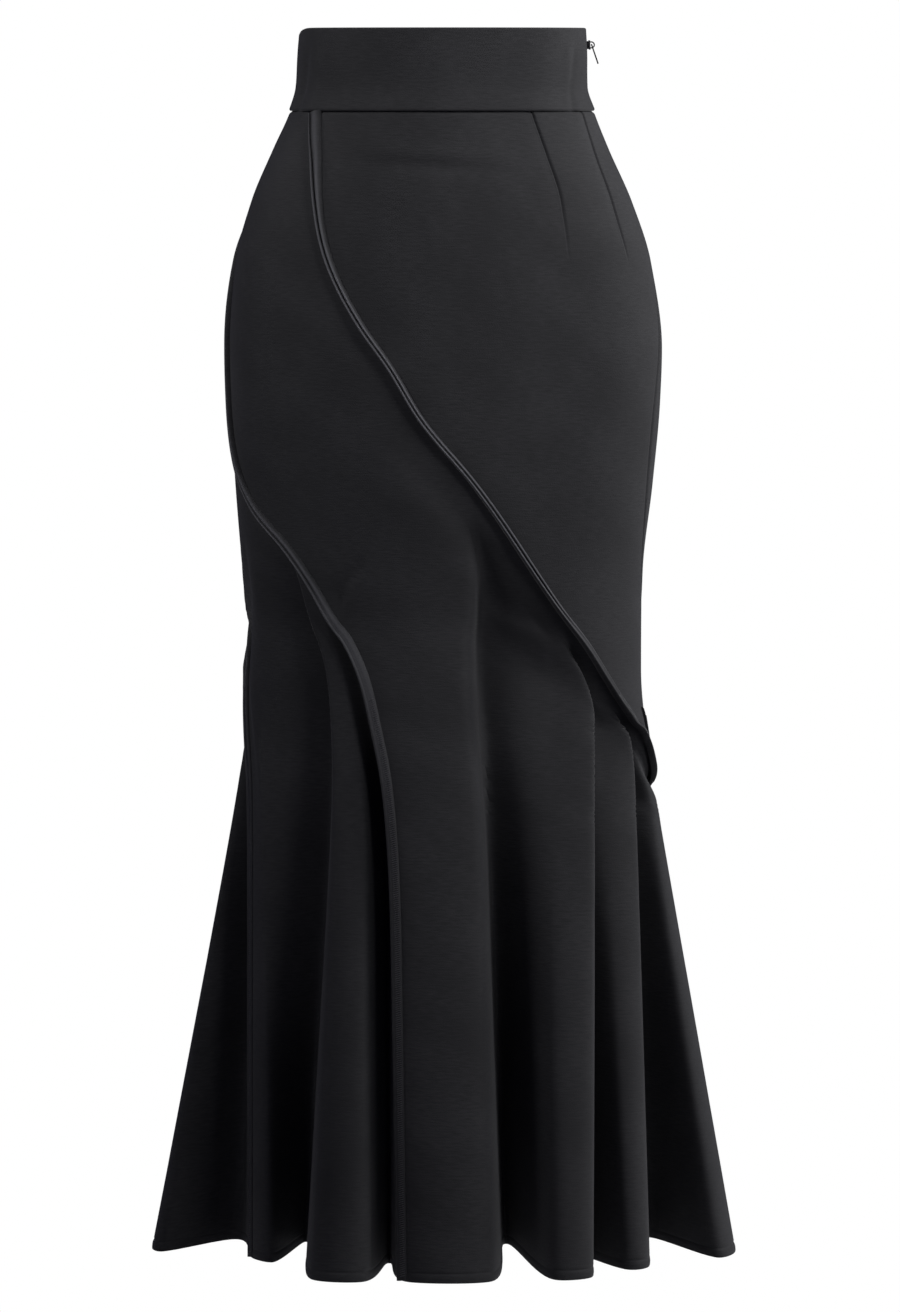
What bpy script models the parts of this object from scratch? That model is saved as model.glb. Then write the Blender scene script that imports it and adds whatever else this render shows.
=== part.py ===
"""Mermaid fishtail skirt: a high waistband over four spiral cut panels, raised seams and a side zip.

The skirt keeps the hollow form that it has when worn. The origin is the middle of the waist, halfway
up the waistband. The front faces -Y, +X is the wearer's left, and the hem hangs at the lowest Z.

Every cloth piece is a flat slab in pattern coordinates, an angle round the body in degrees and a
drop below the top edge in millimetres, that one surface function bends into place.
"""

import math
from typing import NamedTuple

import bmesh
import bpy
import numpy as np
from mathutils import Matrix, Vector

MM = 0.001

# Driving sizes, in millimetres, but for WELD, which joins mesh points in metres.
BAND_HEIGHT = 62.0
HEM_DROP = 917.0
WELD = 1e-7
CLOTH = 1.8
BAND_CLOTH = 3.0
BAND_PROUD = 1.6
SEAM_GAP = 0.4
LAY_GAP = 0.6
RIDGE_GAP = 1.1
FLARE_EASE = 0.08
FULL_TURN = 360.0


class Section(NamedTuple):
    """How far the body of the skirt reaches to the wearer's left (+X) and right, forward and back."""

    drop: float
    left: float
    right: float
    front: float
    back: float


SECTIONS = (
    Section(drop=0, left=106.2, right=106.2, front=87, back=89),
    Section(drop=25, left=107.6, right=108.2, front=89, back=91),
    Section(drop=44, left=107.8, right=109.2, front=90, back=93),
    Section(drop=62, left=113.2, right=114.0, front=93, back=97),
    Section(drop=90, left=124.3, right=126.6, front=98, back=106),
    Section(drop=130, left=142.0, right=143.4, front=104, back=116),
    Section(drop=175, left=156.2, right=155.0, front=108, back=123),
    Section(drop=240, left=164.6, right=159.6, front=111, back=127),
    Section(drop=280, left=163.2, right=159.0, front=112, back=125),
    Section(drop=340, left=157.8, right=155.6, front=112, back=120),
    Section(drop=410, left=150.2, right=150.2, front=111, back=115),
    Section(drop=470, left=149.2, right=146.4, front=111, back=113),
    Section(drop=HEM_DROP, left=150.5, right=146.8, front=112, back=114),
)

HEM_WIDTH = 221.0
HEM_DEPTH = 204.0


class Fold(NamedTuple):
    """A fold of the fishtail: a crest, and the hollow that follows it to the wearer's left.

    The knee angles say which lines of the cloth turn into the crest's two shoulders and the hollow.
    The hem angles and reaches place them on the hem's oval, of which 1 is the full size.
    """

    name: str
    knee_from: float
    knee_to: float
    knee_hollow: float
    hem_from: float
    hem_to: float
    reach: float
    hem_hollow: float
    hollow_reach: float
    opens: float
    lift: float


FOLDS = (
    Fold("centre", -13.5, 11.6, 19, -7.0, 9.5, 1.0, 27, 0.47, 425, 13),
    Fold("right_front", 34, 49, 55, 21.5, 30, 1.0, 47, 0.64, 470, 4),
    Fold("right", 61, 74, 80, 43.5, 50.5, 0.90, 84, 0.70, 515, 9),
    Fold("right_edge", 87, 97, 105, 71.5, 88, 0.985, 100, 0.74, 480, 6),
    Fold("right_back", 113, 127, 135, 115, 133, 0.97, 141, 0.60, 540, 10),
    Fold("back_right", 145, 156, 165, 150, 163, 0.96, 169, 0.55, 500, 10),
    Fold("back", 175, 188, 197, 175, 191, 0.98, 199, 0.58, 470, 10),
    Fold("back_left", 207, 219, 228, 207, 221, 0.95, 227, 0.60, 480, 10),
    Fold("left_back", 239, 250, 257, 236, 249, 0.97, 255, 0.73, 500, 6),
    Fold("left_edge", 264, 272, 279, 265, 278, 0.968, 271, 0.70, 500, 6),
    Fold("left", 284, 291, 310, 297.6, 308, 0.725, 298, 0.52, 440, 10),
    Fold("left_front", 327, 337, 342.5, 334.5, 345.5, 1.02, 342, 0.58, 470, 2),
)


class Stop(NamedTuple):
    """A point that a seam passes through: its drop and its angle round the skirt."""

    drop: float
    angle: float


# The angles of the seams that start behind are given a full turn on, as the panels count them.
SEAMS = {
    "wrap": (
        Stop(62, -55.5), Stop(95, -46.2), Stop(119, -41.5), Stop(147, -37.1), Stop(186, -30.1),
        Stop(220, -22.2), Stop(251, -14), Stop(289, -5.7), Stop(335, 8), Stop(398, 25.6),
        Stop(430, 35.3), Stop(458, 45.7), Stop(484, 55.1), Stop(501, 62.6), Stop(514, 70.5),
        Stop(526, 78.2), Stop(536, 82.6), Stop(547, 85.9), Stop(558, 88.8), Stop(569, 93.5),
        Stop(580, 99.5), Stop(592, 105), Stop(606, 109.5), Stop(632, 112.6), Stop(HEM_DROP, 113),
    ),
    "front": (
        Stop(62, -126), Stop(125, -111), Stop(172, -100), Stop(221, -91), Stop(277, -85.5),
        Stop(302, -82.5), Stop(326, -77.1),
        Stop(357, -64.5), Stop(385, -49.4), Stop(412, -39.9), Stop(436, -33.5), Stop(454, -27.9),
        Stop(483, -22.8), Stop(517, -19.5), Stop(551, -16.6), Stop(584, -15), Stop(626, -13.9),
        Stop(680, -13.4), Stop(HEM_DROP, -13.4),
    ),
    "left": (
        Stop(62, -198), Stop(159, -184), Stop(250, -166), Stop(330, -145), Stop(400, -121),
        Stop(460, -102), Stop(520, -86), Stop(568, -77.5), Stop(620, -76), Stop(HEM_DROP, -76),
    ),
    "side": (
        Stop(62, 90), Stop(150, 88), Stop(243, 79.8), Stop(303, 75.5), Stop(343, 76.5),
        Stop(384, 80.7), Stop(420, 86), Stop(470, 91), Stop(557, 92),
    ),
}

# Where the wrap seam meets the side seam, and where the front wrap panel's tip ends just above it.
JUNCTION_DROP = 571.0
TIP_DROP = 560.0

ROWS = (
    62.4, 105, 150, 195, 240, 280, 318, 352, 385, 412, 436, 458, 478, 496, 512, 526, 538, 549, TIP_DROP,
    JUNCTION_DROP, 582, 594, 608, 632, 672, 740, 825, HEM_DROP,
)


# ---- Curves ----


def hermite(at, knots, values, slopes):
    """Cubic through values at knots with those slopes, at each place in at."""
    at = np.clip(at, knots[0], knots[-1])
    i = np.clip(np.searchsorted(knots, at, side="right") - 1, 0, len(knots) - 2)
    span = knots[i + 1] - knots[i]
    t = (at - knots[i]) / span
    rise = t * t * (3 - 2 * t)
    start = t * (1 - t) ** 2 * span
    end = t * t * (t - 1) * span
    return values[i] * (1 - rise) + values[i + 1] * rise + slopes[i] * start + slopes[i + 1] * end


def even_slopes(knots, values):
    """At each knot, the slope from the knot before to the one after."""
    slopes = np.gradient(values, knots, edge_order=1)
    slopes[1:-1] = (values[2:] - values[:-2]) / (knots[2:] - knots[:-2])
    return slopes


def glide(at, knots, values):
    """Smooth curve through the values that never overshoots them."""
    knots, values = np.asarray(knots, float), np.asarray(values, float)
    step = np.diff(values) / np.diff(knots)
    before, after = np.concatenate([step[:1], step]), np.concatenate([step, step[-1:]])
    same_way = before * after > 0
    total = np.where(same_way, before + after, 1.0)
    slopes = np.where(same_way, 2 * before * after / total, 0.0)
    return hermite(np.asarray(at, float), knots, values, slopes)


# ---- The surface of the skirt ----


def hem_line(samples=2880):
    """The hem's closed curve, sampled by the knee angle of the cloth line that reaches each point.

    Returns columns of knee angle, x, y, the drop where the line opens, the hem's lift, and how far the
    line is in a hollow, 0 to 1.
    """
    knee, x, y, opens, lift, hollow = [], [], [], [], [], []
    for fold in FOLDS:
        marks = (
            (fold.knee_from, fold.hem_from, fold.reach, 0.0, 0.0),
            (fold.knee_to, fold.hem_to, fold.reach, 0.0, 0.0),
            (fold.knee_hollow, fold.hem_hollow, fold.hollow_reach, fold.lift, 1.0),
        )
        for knee_angle, hem_angle, reach, rise, deep in marks:
            knee.append(knee_angle)
            x.append(HEM_WIDTH * reach * math.sin(math.radians(hem_angle)))
            y.append(-HEM_DEPTH * reach * math.cos(math.radians(hem_angle)))
            opens.append(fold.opens)
            lift.append(rise)
            hollow.append(deep)
    turn = np.array([FULL_TURN])
    wrapped = [np.array(v * 3) for v in (x, y, opens, lift, hollow)]
    knee = np.concatenate([np.array(knee) - turn, knee, np.array(knee) + turn])
    chord = np.hypot(np.diff(wrapped[0]), np.diff(wrapped[1]))
    knots = np.concatenate([[0.0], np.cumsum(np.sqrt(chord))])
    third = len(FOLDS) * 3
    at = np.linspace(knots[third - 6], knots[2 * third + 6], samples)
    hem_x = hermite(at, knots, wrapped[0], even_slopes(knots, wrapped[0]))
    hem_y = hermite(at, knots, wrapped[1], even_slopes(knots, wrapped[1]))
    return (glide(at, knots, knee), hem_x, hem_y, *(glide(at, knots, values) for values in wrapped[2:]))


HEM = hem_line()


def seam_angle(seam, drop):
    """The seam's angle at each drop."""
    stops = SEAMS[seam]
    return glide(drop, [s.drop for s in stops], [s.angle for s in stops])


def turned(angle):
    """The angle brought to between a half turn back and a half turn on."""
    return np.mod(angle + FULL_TURN / 2, FULL_TURN) - FULL_TURN / 2


class Lead(NamedTuple):
    """A seam whose curve the folds beside it follow: how far at most and how wide, in degrees."""

    seam: str
    limit: float
    width: float


LEADS = (Lead("front", 16, 26), Lead("left", 16, 26), Lead("wrap", 10, 12))


def knee_line(angle, drop):
    """The knee angle of the line of cloth that passes through each angle and drop.

    Lines run straight down, but beside a leading seam they bend to stay beside it.
    """
    line = np.array(angle, float)
    for lead in LEADS:
        here = seam_angle(lead.seam, drop)
        shift = np.clip(SEAMS[lead.seam][-1].angle - here, -lead.limit, lead.limit)
        line = line + shift * np.exp(-((turned(angle - here) / lead.width) ** 2))
    return line


def hem_values(angle, drop):
    """x, y, opening drop and lift of the hem, and the hollow's share, for each angle and drop."""
    start = FOLDS[0].knee_from
    line = np.mod(knee_line(angle, drop) - start, FULL_TURN) + start
    return [np.interp(line, HEM[0], column) for column in HEM[1:]]


class Trough(NamedTuple):
    """A dip in the cloth that runs along the lower side of a seam, where the panel above covers it."""

    seam: str
    starts: float
    full: float
    depth: float
    away: float


TROUGHS = (
    Trough("wrap", starts=170, full=380, depth=3.9, away=11.0),
    Trough("front", starts=250, full=430, depth=2.6, away=9.0),
    Trough("left", starts=250, full=430, depth=2.6, away=9.0),
)


# Distances from a seam of the columns of the panel above it, and of those that shape a trough.
EDGE_COLUMNS = (6.0,)
EDGE_ZONE = 1.3
TROUGH_COLUMNS = (30.0, 19.0, 12.0, 6.0)


# The hollows between the folds draw the cloth in from just below a seam: the depth, how far above and
# below a fold's opening they grow, and how far from a seam they are full.
HOLLOW_DEPTH = 10.0
HOLLOW_ABOVE = 70.0
HOLLOW_BELOW = 45.0
HOLLOW_ONSET = 60.0


def rise(share):
    """Smooth step from 0 to 1 as the share goes from 0 to 1."""
    share = np.clip(share, 0, 1)
    return share * share * (3 - 2 * share)


def relief(angle, drop, radius, opens, hollow):
    """How far the body's surface is drawn in by the troughs beside the seams and by the hollows."""
    inward = np.zeros_like(radius)
    onset = rise((drop - opens + HOLLOW_ABOVE) / (HOLLOW_ABOVE + HOLLOW_BELOW))
    for trough in TROUGHS:
        away = np.radians(turned(seam_angle(trough.seam, drop) - angle)) * radius
        grown = rise((drop - trough.starts) / (trough.full - trough.starts))
        share = np.clip(away, 0, None) / trough.away
        inward += trough.depth * grown * share * np.exp(1 - share)
        onset = onset * rise(np.abs(away) / HOLLOW_ONSET)
    in_wrap = (angle > seam_angle("wrap", drop)) & (angle < seam_angle("side", drop))
    in_wrap &= drop < JUNCTION_DROP
    return inward + np.where(in_wrap, 0, HOLLOW_DEPTH * onset * hollow)


def skirt(angle, drop, troughs=1.0):
    """Outer face of the cloth: the body's oval section, opening out to the hem's folded curve."""
    angle, drop = np.broadcast_arrays(np.asarray(angle, float), np.asarray(drop, float))
    turn = np.radians(angle)
    left, right, front, back = (
        glide(drop, [s.drop for s in SECTIONS], [s[i] for s in SECTIONS]) for i in (1, 2, 3, 4)
    )
    width = np.where(np.sin(turn) > 0, left, right)
    depth = np.where(np.cos(turn) > 0, front, back)
    radius = np.hypot(width * np.sin(turn), depth * np.cos(turn))
    hem_x, hem_y, opens, lift, hollow = hem_values(angle, drop)
    drawn = 1 - troughs * relief(angle, drop, radius, opens, hollow) / radius
    fall = np.clip((drop - opens) / (HEM_DROP - opens), 0, 1)
    share = (np.hypot(fall, FLARE_EASE) - FLARE_EASE) / (math.hypot(1, FLARE_EASE) - FLARE_EASE)
    x = width * np.sin(turn) * drawn * (1 - share) + hem_x * share
    y = -depth * np.cos(turn) * drawn * (1 - share) + hem_y * share
    z = BAND_HEIGHT / 2 - drop + lift * share**2
    return np.stack([x, y, z], axis=-1)


def unit(vectors):
    """The vectors at length 1."""
    return vectors / np.linalg.norm(vectors, axis=-1, keepdims=True)


def across_and_down(angle, drop, reach=0.3):
    """How the surface, its troughs left out, moves for a degree round and for a millimetre down."""
    across = (skirt(angle + reach, drop, 0) - skirt(angle - reach, drop, 0)) / (2 * reach)
    low, high = np.clip(drop + 1.0, None, HEM_DROP), drop - 1.0
    down = (skirt(angle, low, 0) - skirt(angle, high, 0)) / (low - high)[..., None]
    return across, down


def outward(angle, drop):
    """The surface's outward normal."""
    across, down = across_and_down(angle, drop)
    return unit(np.cross(down, across))


# ---- Slabs bent into place ----


def link(obj, material):
    """Adds the object to the skirt's collection with its material."""
    obj.data.materials.append(material)
    bpy.data.collections["mermaid_skirt"].objects.link(obj)
    return obj


def slab(name, columns, rows, bend, material):
    """A flat slab of columns by rows, closed all round, whose corners bend() moves into place.

    bend takes arrays of the place across (0 to 1), the row number and the layer (0 outer, 1 inner).
    """
    bm = bmesh.new()
    bmesh.ops.create_grid(bm, x_segments=columns, y_segments=rows, size=0.5)
    outer = list(bm.verts)
    made = bmesh.ops.extrude_face_region(bm, geom=list(bm.faces))
    for vert in (v for v in made["geom"] if isinstance(v, bmesh.types.BMVert)):
        vert.co.z = -1.0
    mesh = bpy.data.meshes.new(name)
    bmesh.ops.recalc_face_normals(bm, faces=list(bm.faces))
    bm.to_mesh(mesh)
    bm.free()
    flat = np.empty(len(mesh.vertices) * 3)
    mesh.vertices.foreach_get("co", flat)
    flat = flat.reshape(-1, 3)
    placed = bend(flat[:, 0] + 0.5, np.rint((0.5 - flat[:, 1]) * rows).astype(int), -flat[:, 2])
    mesh.vertices.foreach_set("co", (placed * MM).ravel())
    mesh.update()
    return link(face_out(bpy.data.objects.new(name, mesh)), material)


def face_out(obj):
    """Turns the faces of a closed mesh outwards."""
    bm = bmesh.new()
    bm.from_mesh(obj.data)
    bmesh.ops.recalc_face_normals(bm, faces=list(bm.faces))
    if bm.calc_volume(signed=True) < 0:
        bmesh.ops.reverse_faces(bm, faces=list(bm.faces))
    bm.to_mesh(obj.data)
    bm.free()
    return obj


def edge(seam, drops, side):
    """A panel's edge beside a seam, half the seam gap to one side of it (-1 or 1).

    Returns the edge's angles and the seam's own, at which the panel's edge takes its normal.
    """
    angle = seam_angle(seam, drops)
    across, down = across_and_down(angle, drops)
    slope = (seam_angle(seam, drops + 1) - seam_angle(seam, drops - 1)) / 2
    run = unit(down + across * slope[:, None])
    clear = np.linalg.norm(across - run * (across * run).sum(-1, keepdims=True), axis=-1)
    return np.stack([angle + side * SEAM_GAP / 2 / clear, angle])


def panel(name, left, right, columns, rows, material, beside_left=(), beside_right=()):
    """A panel of cloth between the edges left and right, given at each of rows, which are drops.

    beside_left and beside_right are the distances in millimetres from those edges of extra columns.
    """
    rows = np.asarray(rows)
    per_degree = [np.linalg.norm(across_and_down(side[0], rows)[0], axis=-1) for side in (left, right)]
    first = [left[0], *(left[0] + distance / per_degree[0] for distance in beside_left)]
    last = [*(right[0] - distance / per_degree[1] for distance in beside_right), right[0]]
    middle = fold_columns(first[-1], last[0], columns)
    angles = np.array([*first, *middle, *last])
    facing = np.vstack([left[1], angles[1:-1], right[1]])
    outer = relaxed(skirt(angles, rows), angles, rows)

    def bend(across, row, layer):
        column = np.rint(across * (len(angles) - 1)).astype(int)
        face = outward(facing[column, row], rows[row])
        return outer[column, row] - face * (layer * CLOTH)[:, None]

    return slab(name, len(angles) - 1, len(rows) - 1, bend, material)


def relaxed(points, angles, rows, passes=10):
    """Evens out a panel's points where its columns close up, so that folds begin without kinks.

    In each pass an inner point moves halfway to its four neighbours' mean, times how far its columns
    have closed up. points run by column and row, and so do angles. The hips keep their shape.
    """
    gaps = (angles[2:, 1:-1] - angles[:-2, 1:-1]) / (angles[2:, -1:] - angles[:-2, -1:])
    below_hips = rise((rows[1:-1] - 390) / 60)
    share = 0.5 * (rise(2 * (1 - gaps)) * below_hips)[..., None]
    points = points.copy()
    for _ in range(passes):
        inner = points[1:-1, 1:-1]
        mean = (points[:-2, 1:-1] + points[2:, 1:-1] + points[1:-1, :-2] + points[1:-1, 2:]) / 4
        points[1:-1, 1:-1] = inner + share * (mean - inner)
    return points


def fold_columns(left, right, columns):
    """The angles of the columns between two lines, at each row, the two lines left out.

    At the hem they are spaced by its turns. Higher up each keeps its angle and so its fold, but for
    those near an edge that has moved, which close up to it.
    """
    hem = even_columns(left[-1], right[-1], columns)[1:-1, None]
    shift = left - left[-1], right - right[-1]
    zones = [np.maximum(EDGE_ZONE * np.abs(moved), 1.0) for moved in shift]
    kept = (
        hem
        + shift[0] * np.clip(1 - (hem - left[-1]) / zones[0], 0, 1)
        + shift[1] * np.clip(1 - (right[-1] - hem) / zones[1], 0, 1)
    )
    even = left + (right - left) * (hem - left[-1]) / (right[-1] - left[-1])
    room = (right[-1] - left[-1] - zones[0] - zones[1]) / (0.6 * (right[-1] - left[-1]))
    keep = np.clip(room, 0, 1)
    return list(kept * keep + even * (1 - keep))


def even_columns(left, right, columns, turn_worth=11.0):
    """Angles across the hem, closer where it turns than where it runs straight.

    turn_worth is the length of straight hem, in millimetres, that counts as much as a 10 degree turn.
    """
    angle = np.linspace(left, right, 1440)
    hem = skirt(angle, np.full_like(angle, HEM_DROP))[:, :2]
    step = np.diff(hem, axis=0)
    heading = np.unwrap(np.arctan2(step[:, 1], step[:, 0]))
    turning = np.abs(np.diff(heading, prepend=heading[0]))
    worth = np.hypot(step[:, 0], step[:, 1]) + np.degrees(turning) / 10 * turn_worth
    run = np.concatenate([[0.0], np.cumsum(worth)])
    return np.interp(np.linspace(0, run[-1], columns + 1), run, angle)


def make_panels(cloth):
    """The four panels that spiral round the body and open into the fishtail."""
    rows = np.array(ROWS)
    upper = rows[rows <= TIP_DROP]
    wrap_right = edge("wrap", rows, 1)
    side_right = edge("side", np.minimum(rows, TIP_DROP), 1)
    tip_edges = wrap_right[:, : len(upper)], edge("side", upper, -1)
    panel("front_wrap_panel", *tip_edges, 12, upper, cloth)
    ends = edge("front", rows, 1), edge("wrap", rows, -1)
    panel("front_panel", *ends, 46, rows, cloth, EDGE_COLUMNS, TROUGH_COLUMNS)
    ends = edge("left", rows, 1), edge("front", rows, -1)
    panel("left_panel", *ends, 19, rows, cloth, EDGE_COLUMNS, TROUGH_COLUMNS)
    back_start = np.where(rows < JUNCTION_DROP, side_right, wrap_right)
    back_end = edge("left", rows, -1) + FULL_TURN
    panel("back_panel", back_start, back_end, 34, rows, cloth, EDGE_COLUMNS, TROUGH_COLUMNS)


# ---- Waistband ----

ZIP_SLIT = 1.6
BAND_ROWS = (0.0, 3.0, 22.0, 44.0, BAND_HEIGHT)


def band_point(angle, drop, out):
    """A point out millimetres outside the skirt's line at the waistband."""
    return skirt(angle, drop) + outward(angle, np.maximum(drop, 2.0)) * np.asarray(out)[..., None]


def make_waistband(cloth):
    """The waistband's front and back, which meet at the right side and at the zip."""
    slit = math.degrees(ZIP_SLIT / 2 / SECTIONS[0].front)
    joint = math.degrees(SEAM_GAP / 2 / SECTIONS[0].front)
    rows = np.array(BAND_ROWS)
    for name, start, end in (
        ("waistband_front", -90 + joint, 90 - slit),
        ("waistband_back", 90 + slit, 270 - joint),
    ):

        def bend(across, row, layer, start=start, end=end):
            angle = start + (end - start) * across
            rounded = np.where(row == 0, BAND_CLOTH * 0.25, 0.0)
            out = BAND_PROUD - rounded - layer * (BAND_CLOTH - 2 * rounded)
            return band_point(angle, rows[row], out)

        slab(name, 22, len(rows) - 1, bend, cloth)


# ---- Raised seams ----


class Ridge(NamedTuple):
    """The size of a raised seam at a drop: its width, its height, its groove and how far it is offset
    towards the panel below."""

    drop: float
    width: float
    height: float
    groove: float
    offset: float


RIDGES = {
    "wrap": (
        Ridge(62, 9.6, 2.4, 0.2, 0.6), Ridge(110, 8.6, 3.4, 0.6, 0.4), Ridge(200, 7.4, 5.0, 1.8, 0),
        Ridge(440, 7.4, 6.0, 1.8, 0), Ridge(530, 7.8, 6.0, 1.2, 1.8), Ridge(630, 8.2, 2.4, 0.3, 2.6),
        Ridge(917, 8.4, 1.8, 0.1, 3.6),
    ),
    "front": (
        Ridge(62, 9.0, 2.6, 0.2, 0.6), Ridge(160, 7.8, 5.0, 1.2, 0), Ridge(400, 7.4, 5.4, 1.4, 0),
        Ridge(454, 8.0, 3.6, 0.6, 1.6), Ridge(540, 8.4, 2.0, 0.2, 3.6), Ridge(917, 8.4, 1.8, 0.1, 3.8),
    ),
    "left": (
        Ridge(62, 9.0, 2.6, 0.2, 0.6), Ridge(160, 7.8, 5.0, 1.2, 0), Ridge(400, 7.4, 5.4, 1.4, 0),
        Ridge(520, 8.0, 3.6, 0.6, 1.6), Ridge(600, 8.4, 2.0, 0.2, 3.0), Ridge(917, 8.4, 1.8, 0.1, 3.4),
    ),
}

# The ridge's outline: shares of its width across and of its height up, with the groove in the middle.
RIDGE_OUTLINE = (
    (-0.44, 0.0), (-0.5, 0.5), (-0.33, 1.0), (0.0, 1.0), (0.33, 1.0), (0.5, 0.5), (0.44, 0.0),
)
GROOVE_POINT = 3
RIDGE_INTO_PANEL = 4.0


class SeamLine:
    """A seam's path over the cloth, with the points of the cloth beside it."""

    def __init__(self, seam, drops):
        self.drops, self.angle = drops, seam_angle(seam, drops)
        across, down = across_and_down(self.angle, drops)
        slope = (seam_angle(seam, drops + 1) - seam_angle(seam, drops - 1)) / 2
        slope[[0, -1]] = 0
        run = unit(down + across * slope[:, None])
        self.per_degree = np.linalg.norm(across, axis=-1)
        self.share_down = (run * unit(down)).sum(-1)
        self.share_across = np.sqrt(np.clip(1 - self.share_down**2, 0, None)) * np.sign(slope)
        self.root = skirt(self.angle, drops)
        aside = self.root - self.beside(-RIDGE_INTO_PANEL)
        self.aside = unit(aside - run * (aside * run).sum(-1, keepdims=True))
        self.out = unit(np.cross(run, -self.aside))

    def beside(self, place):
        """The cloth at a place, millimetres from the seam, towards the panel below it."""
        angle = self.angle - place * self.share_down / self.per_degree
        drop = np.clip(self.drops + place * self.share_across, ROWS[0], HEM_DROP)
        return skirt(angle, drop)

    def rise(self, place):
        """How far the panels rise above the seam's own plane at a place beside it."""
        near = ((self.beside(place) - self.root) * self.out).sum(-1)
        edge_column = np.sign(place) * EDGE_COLUMNS[0]
        far = ((self.beside(edge_column) - self.root) * self.out).sum(-1)
        return np.clip(np.maximum(near, far * place / edge_column), 0, None)


def make_raised_seam(seam, material):
    """The folded seam allowances that stand along a seam, with a groove between their two rolls."""
    drops = np.array([ROWS[0] + 1.0, *ROWS[1:-1], HEM_DROP - 0.4])
    line = SeamLine(seam, drops)
    width, height, groove, offset = (
        glide(drops, [r.drop for r in RIDGES[seam]], [r[i] for r in RIDGES[seam]]) for i in (1, 2, 3, 4)
    )
    outline = np.array(RIDGE_OUTLINE)
    sides = len(outline)
    rings = []
    for i, (share_across, share_up) in enumerate(outline):
        place = share_across * width + offset + 1e-6
        up = RIDGE_GAP + share_up * height - (groove if i == GROOVE_POINT else 0) + line.rise(place)
        rings.append(line.root + line.aside * place[:, None] + line.out * up[:, None])
    points = np.stack(rings, axis=1)
    bm = bmesh.new()
    bmesh.ops.create_grid(bm, x_segments=sides, y_segments=len(drops) - 1, size=0.5)
    for vert in bm.verts:
        side = round((vert.co.x + 0.5) * sides) % sides
        station = round((0.5 - vert.co.y) * (len(drops) - 1))
        vert.co = Vector(points[station, side] * MM)
    bmesh.ops.remove_doubles(bm, verts=list(bm.verts), dist=WELD)
    bmesh.ops.holes_fill(bm, edges=[e for e in bm.edges if e.is_boundary], sides=sides)
    mesh = bpy.data.meshes.new("raised_seam_" + seam)
    bm.to_mesh(mesh)
    bm.free()
    return link(face_out(bpy.data.objects.new(mesh.name, mesh)), material)


# ---- Zip ----

ZIP_TOP = 6.0
ZIP_BOTTOM = 205.0
TAPE_WIDTH = 20.0
TAPE_CLOTH = 0.9
TAPE_INSET = 3.8
SLIDER_DROP = 13.0
SLIDER_WIDTH = 3.6
SLIDER_LENGTH = 7.0
SLIDER_DEPTH = 1.4
BAIL_RADIUS = 2.2
BAIL_WIRE = 0.55
TAB_LENGTH = 15.0
TAB_WIDTH = 4.0
TAB_NECK = 3.2
TAB_CLOTH = 1.0
TAB_BAR = 0.6
TAB_SLOT = 4.2
TAB_RIM = 0.75
TAB_REST_ANGLE = 19.0


def make_zip_tape(material):
    """The zip's tape and closed chain, which lie inside the waistband and the side seam."""
    rows = np.array([ZIP_TOP, *BAND_ROWS[2:-1], *(r for r in ROWS if r < ZIP_BOTTOM), ZIP_BOTTOM])
    middle = np.where(rows < BAND_HEIGHT, 90.0, seam_angle("side", rows))

    def bend(across, row, layer):
        across_mm, _ = across_and_down(middle[row], rows[row])
        angle = middle[row] + (across - 0.5) * TAPE_WIDTH / np.linalg.norm(across_mm, axis=-1)
        return band_point(angle, rows[row], -TAPE_INSET - layer * TAPE_CLOTH)

    return slab("zip_tape", 6, len(rows) - 1, bend, material)


def slider_place():
    """The slider's middle on the waistband's outer face, and the direction out of the band."""
    at, drop = np.array([90.0]), np.array([SLIDER_DROP])
    out = unit(outward(at, drop)[0] * np.array([1, 0, 1]))
    return band_point(at, drop, BAND_PROUD)[0], out


def box(name, size, middle):
    """A box of that size, as a mesh object around its middle."""
    bm = bmesh.new()
    bmesh.ops.create_cube(bm, size=1.0)
    bmesh.ops.scale(bm, vec=Vector(size), verts=bm.verts)
    bmesh.ops.translate(bm, vec=Vector(middle), verts=bm.verts)
    mesh = bpy.data.meshes.new(name)
    bm.to_mesh(mesh)
    bm.free()
    return bpy.data.objects.new(name, mesh)


def add_line(curve, points, closed):
    """Adds a line of straight stretches through the points, in millimetres, to the curve."""
    spline = curve.splines.new("POLY")
    spline.points.add(len(points) - 1)
    spline.use_cyclic_u = closed
    for point, place in zip(spline.points, points):
        point.co = (*(Vector(place).to_3d() * MM), 1.0)


def solid_of(curve):
    """The curve's solid as a closed mesh object of the same name."""
    drawn = bpy.data.objects.new(curve.name, curve)
    bpy.context.scene.collection.objects.link(drawn)
    graph = bpy.context.evaluated_depsgraph_get()
    mesh = bpy.data.meshes.new_from_object(drawn.evaluated_get(graph))
    bpy.data.objects.remove(drawn)
    bm = bmesh.new()
    bm.from_mesh(mesh)
    bmesh.ops.remove_doubles(bm, verts=list(bm.verts), dist=WELD)
    bm.to_mesh(mesh)
    bm.free()
    return face_out(bpy.data.objects.new(curve.name, mesh))


def tube(name, points, radius):
    """A round wire through the points, as a mesh object with closed ends."""
    curve = bpy.data.curves.new(name, "CURVE")
    curve.dimensions = "3D"
    curve.bevel_depth, curve.bevel_resolution, curve.use_fill_caps = radius * MM, 1, True
    add_line(curve, points, closed=False)
    return solid_of(curve)


def joined(body, others, operation):
    """The body with the other objects added by Boolean, or cut out of it."""
    helpers = bpy.data.collections["cutters"]
    for other in others:
        helpers.objects.link(other)
        other.hide_render = True
        other.display_type = "WIRE"
        modifier = body.modifiers.new(other.name, "BOOLEAN")
        modifier.operation, modifier.object, modifier.solver = operation, other, "EXACT"
    return body


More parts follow.
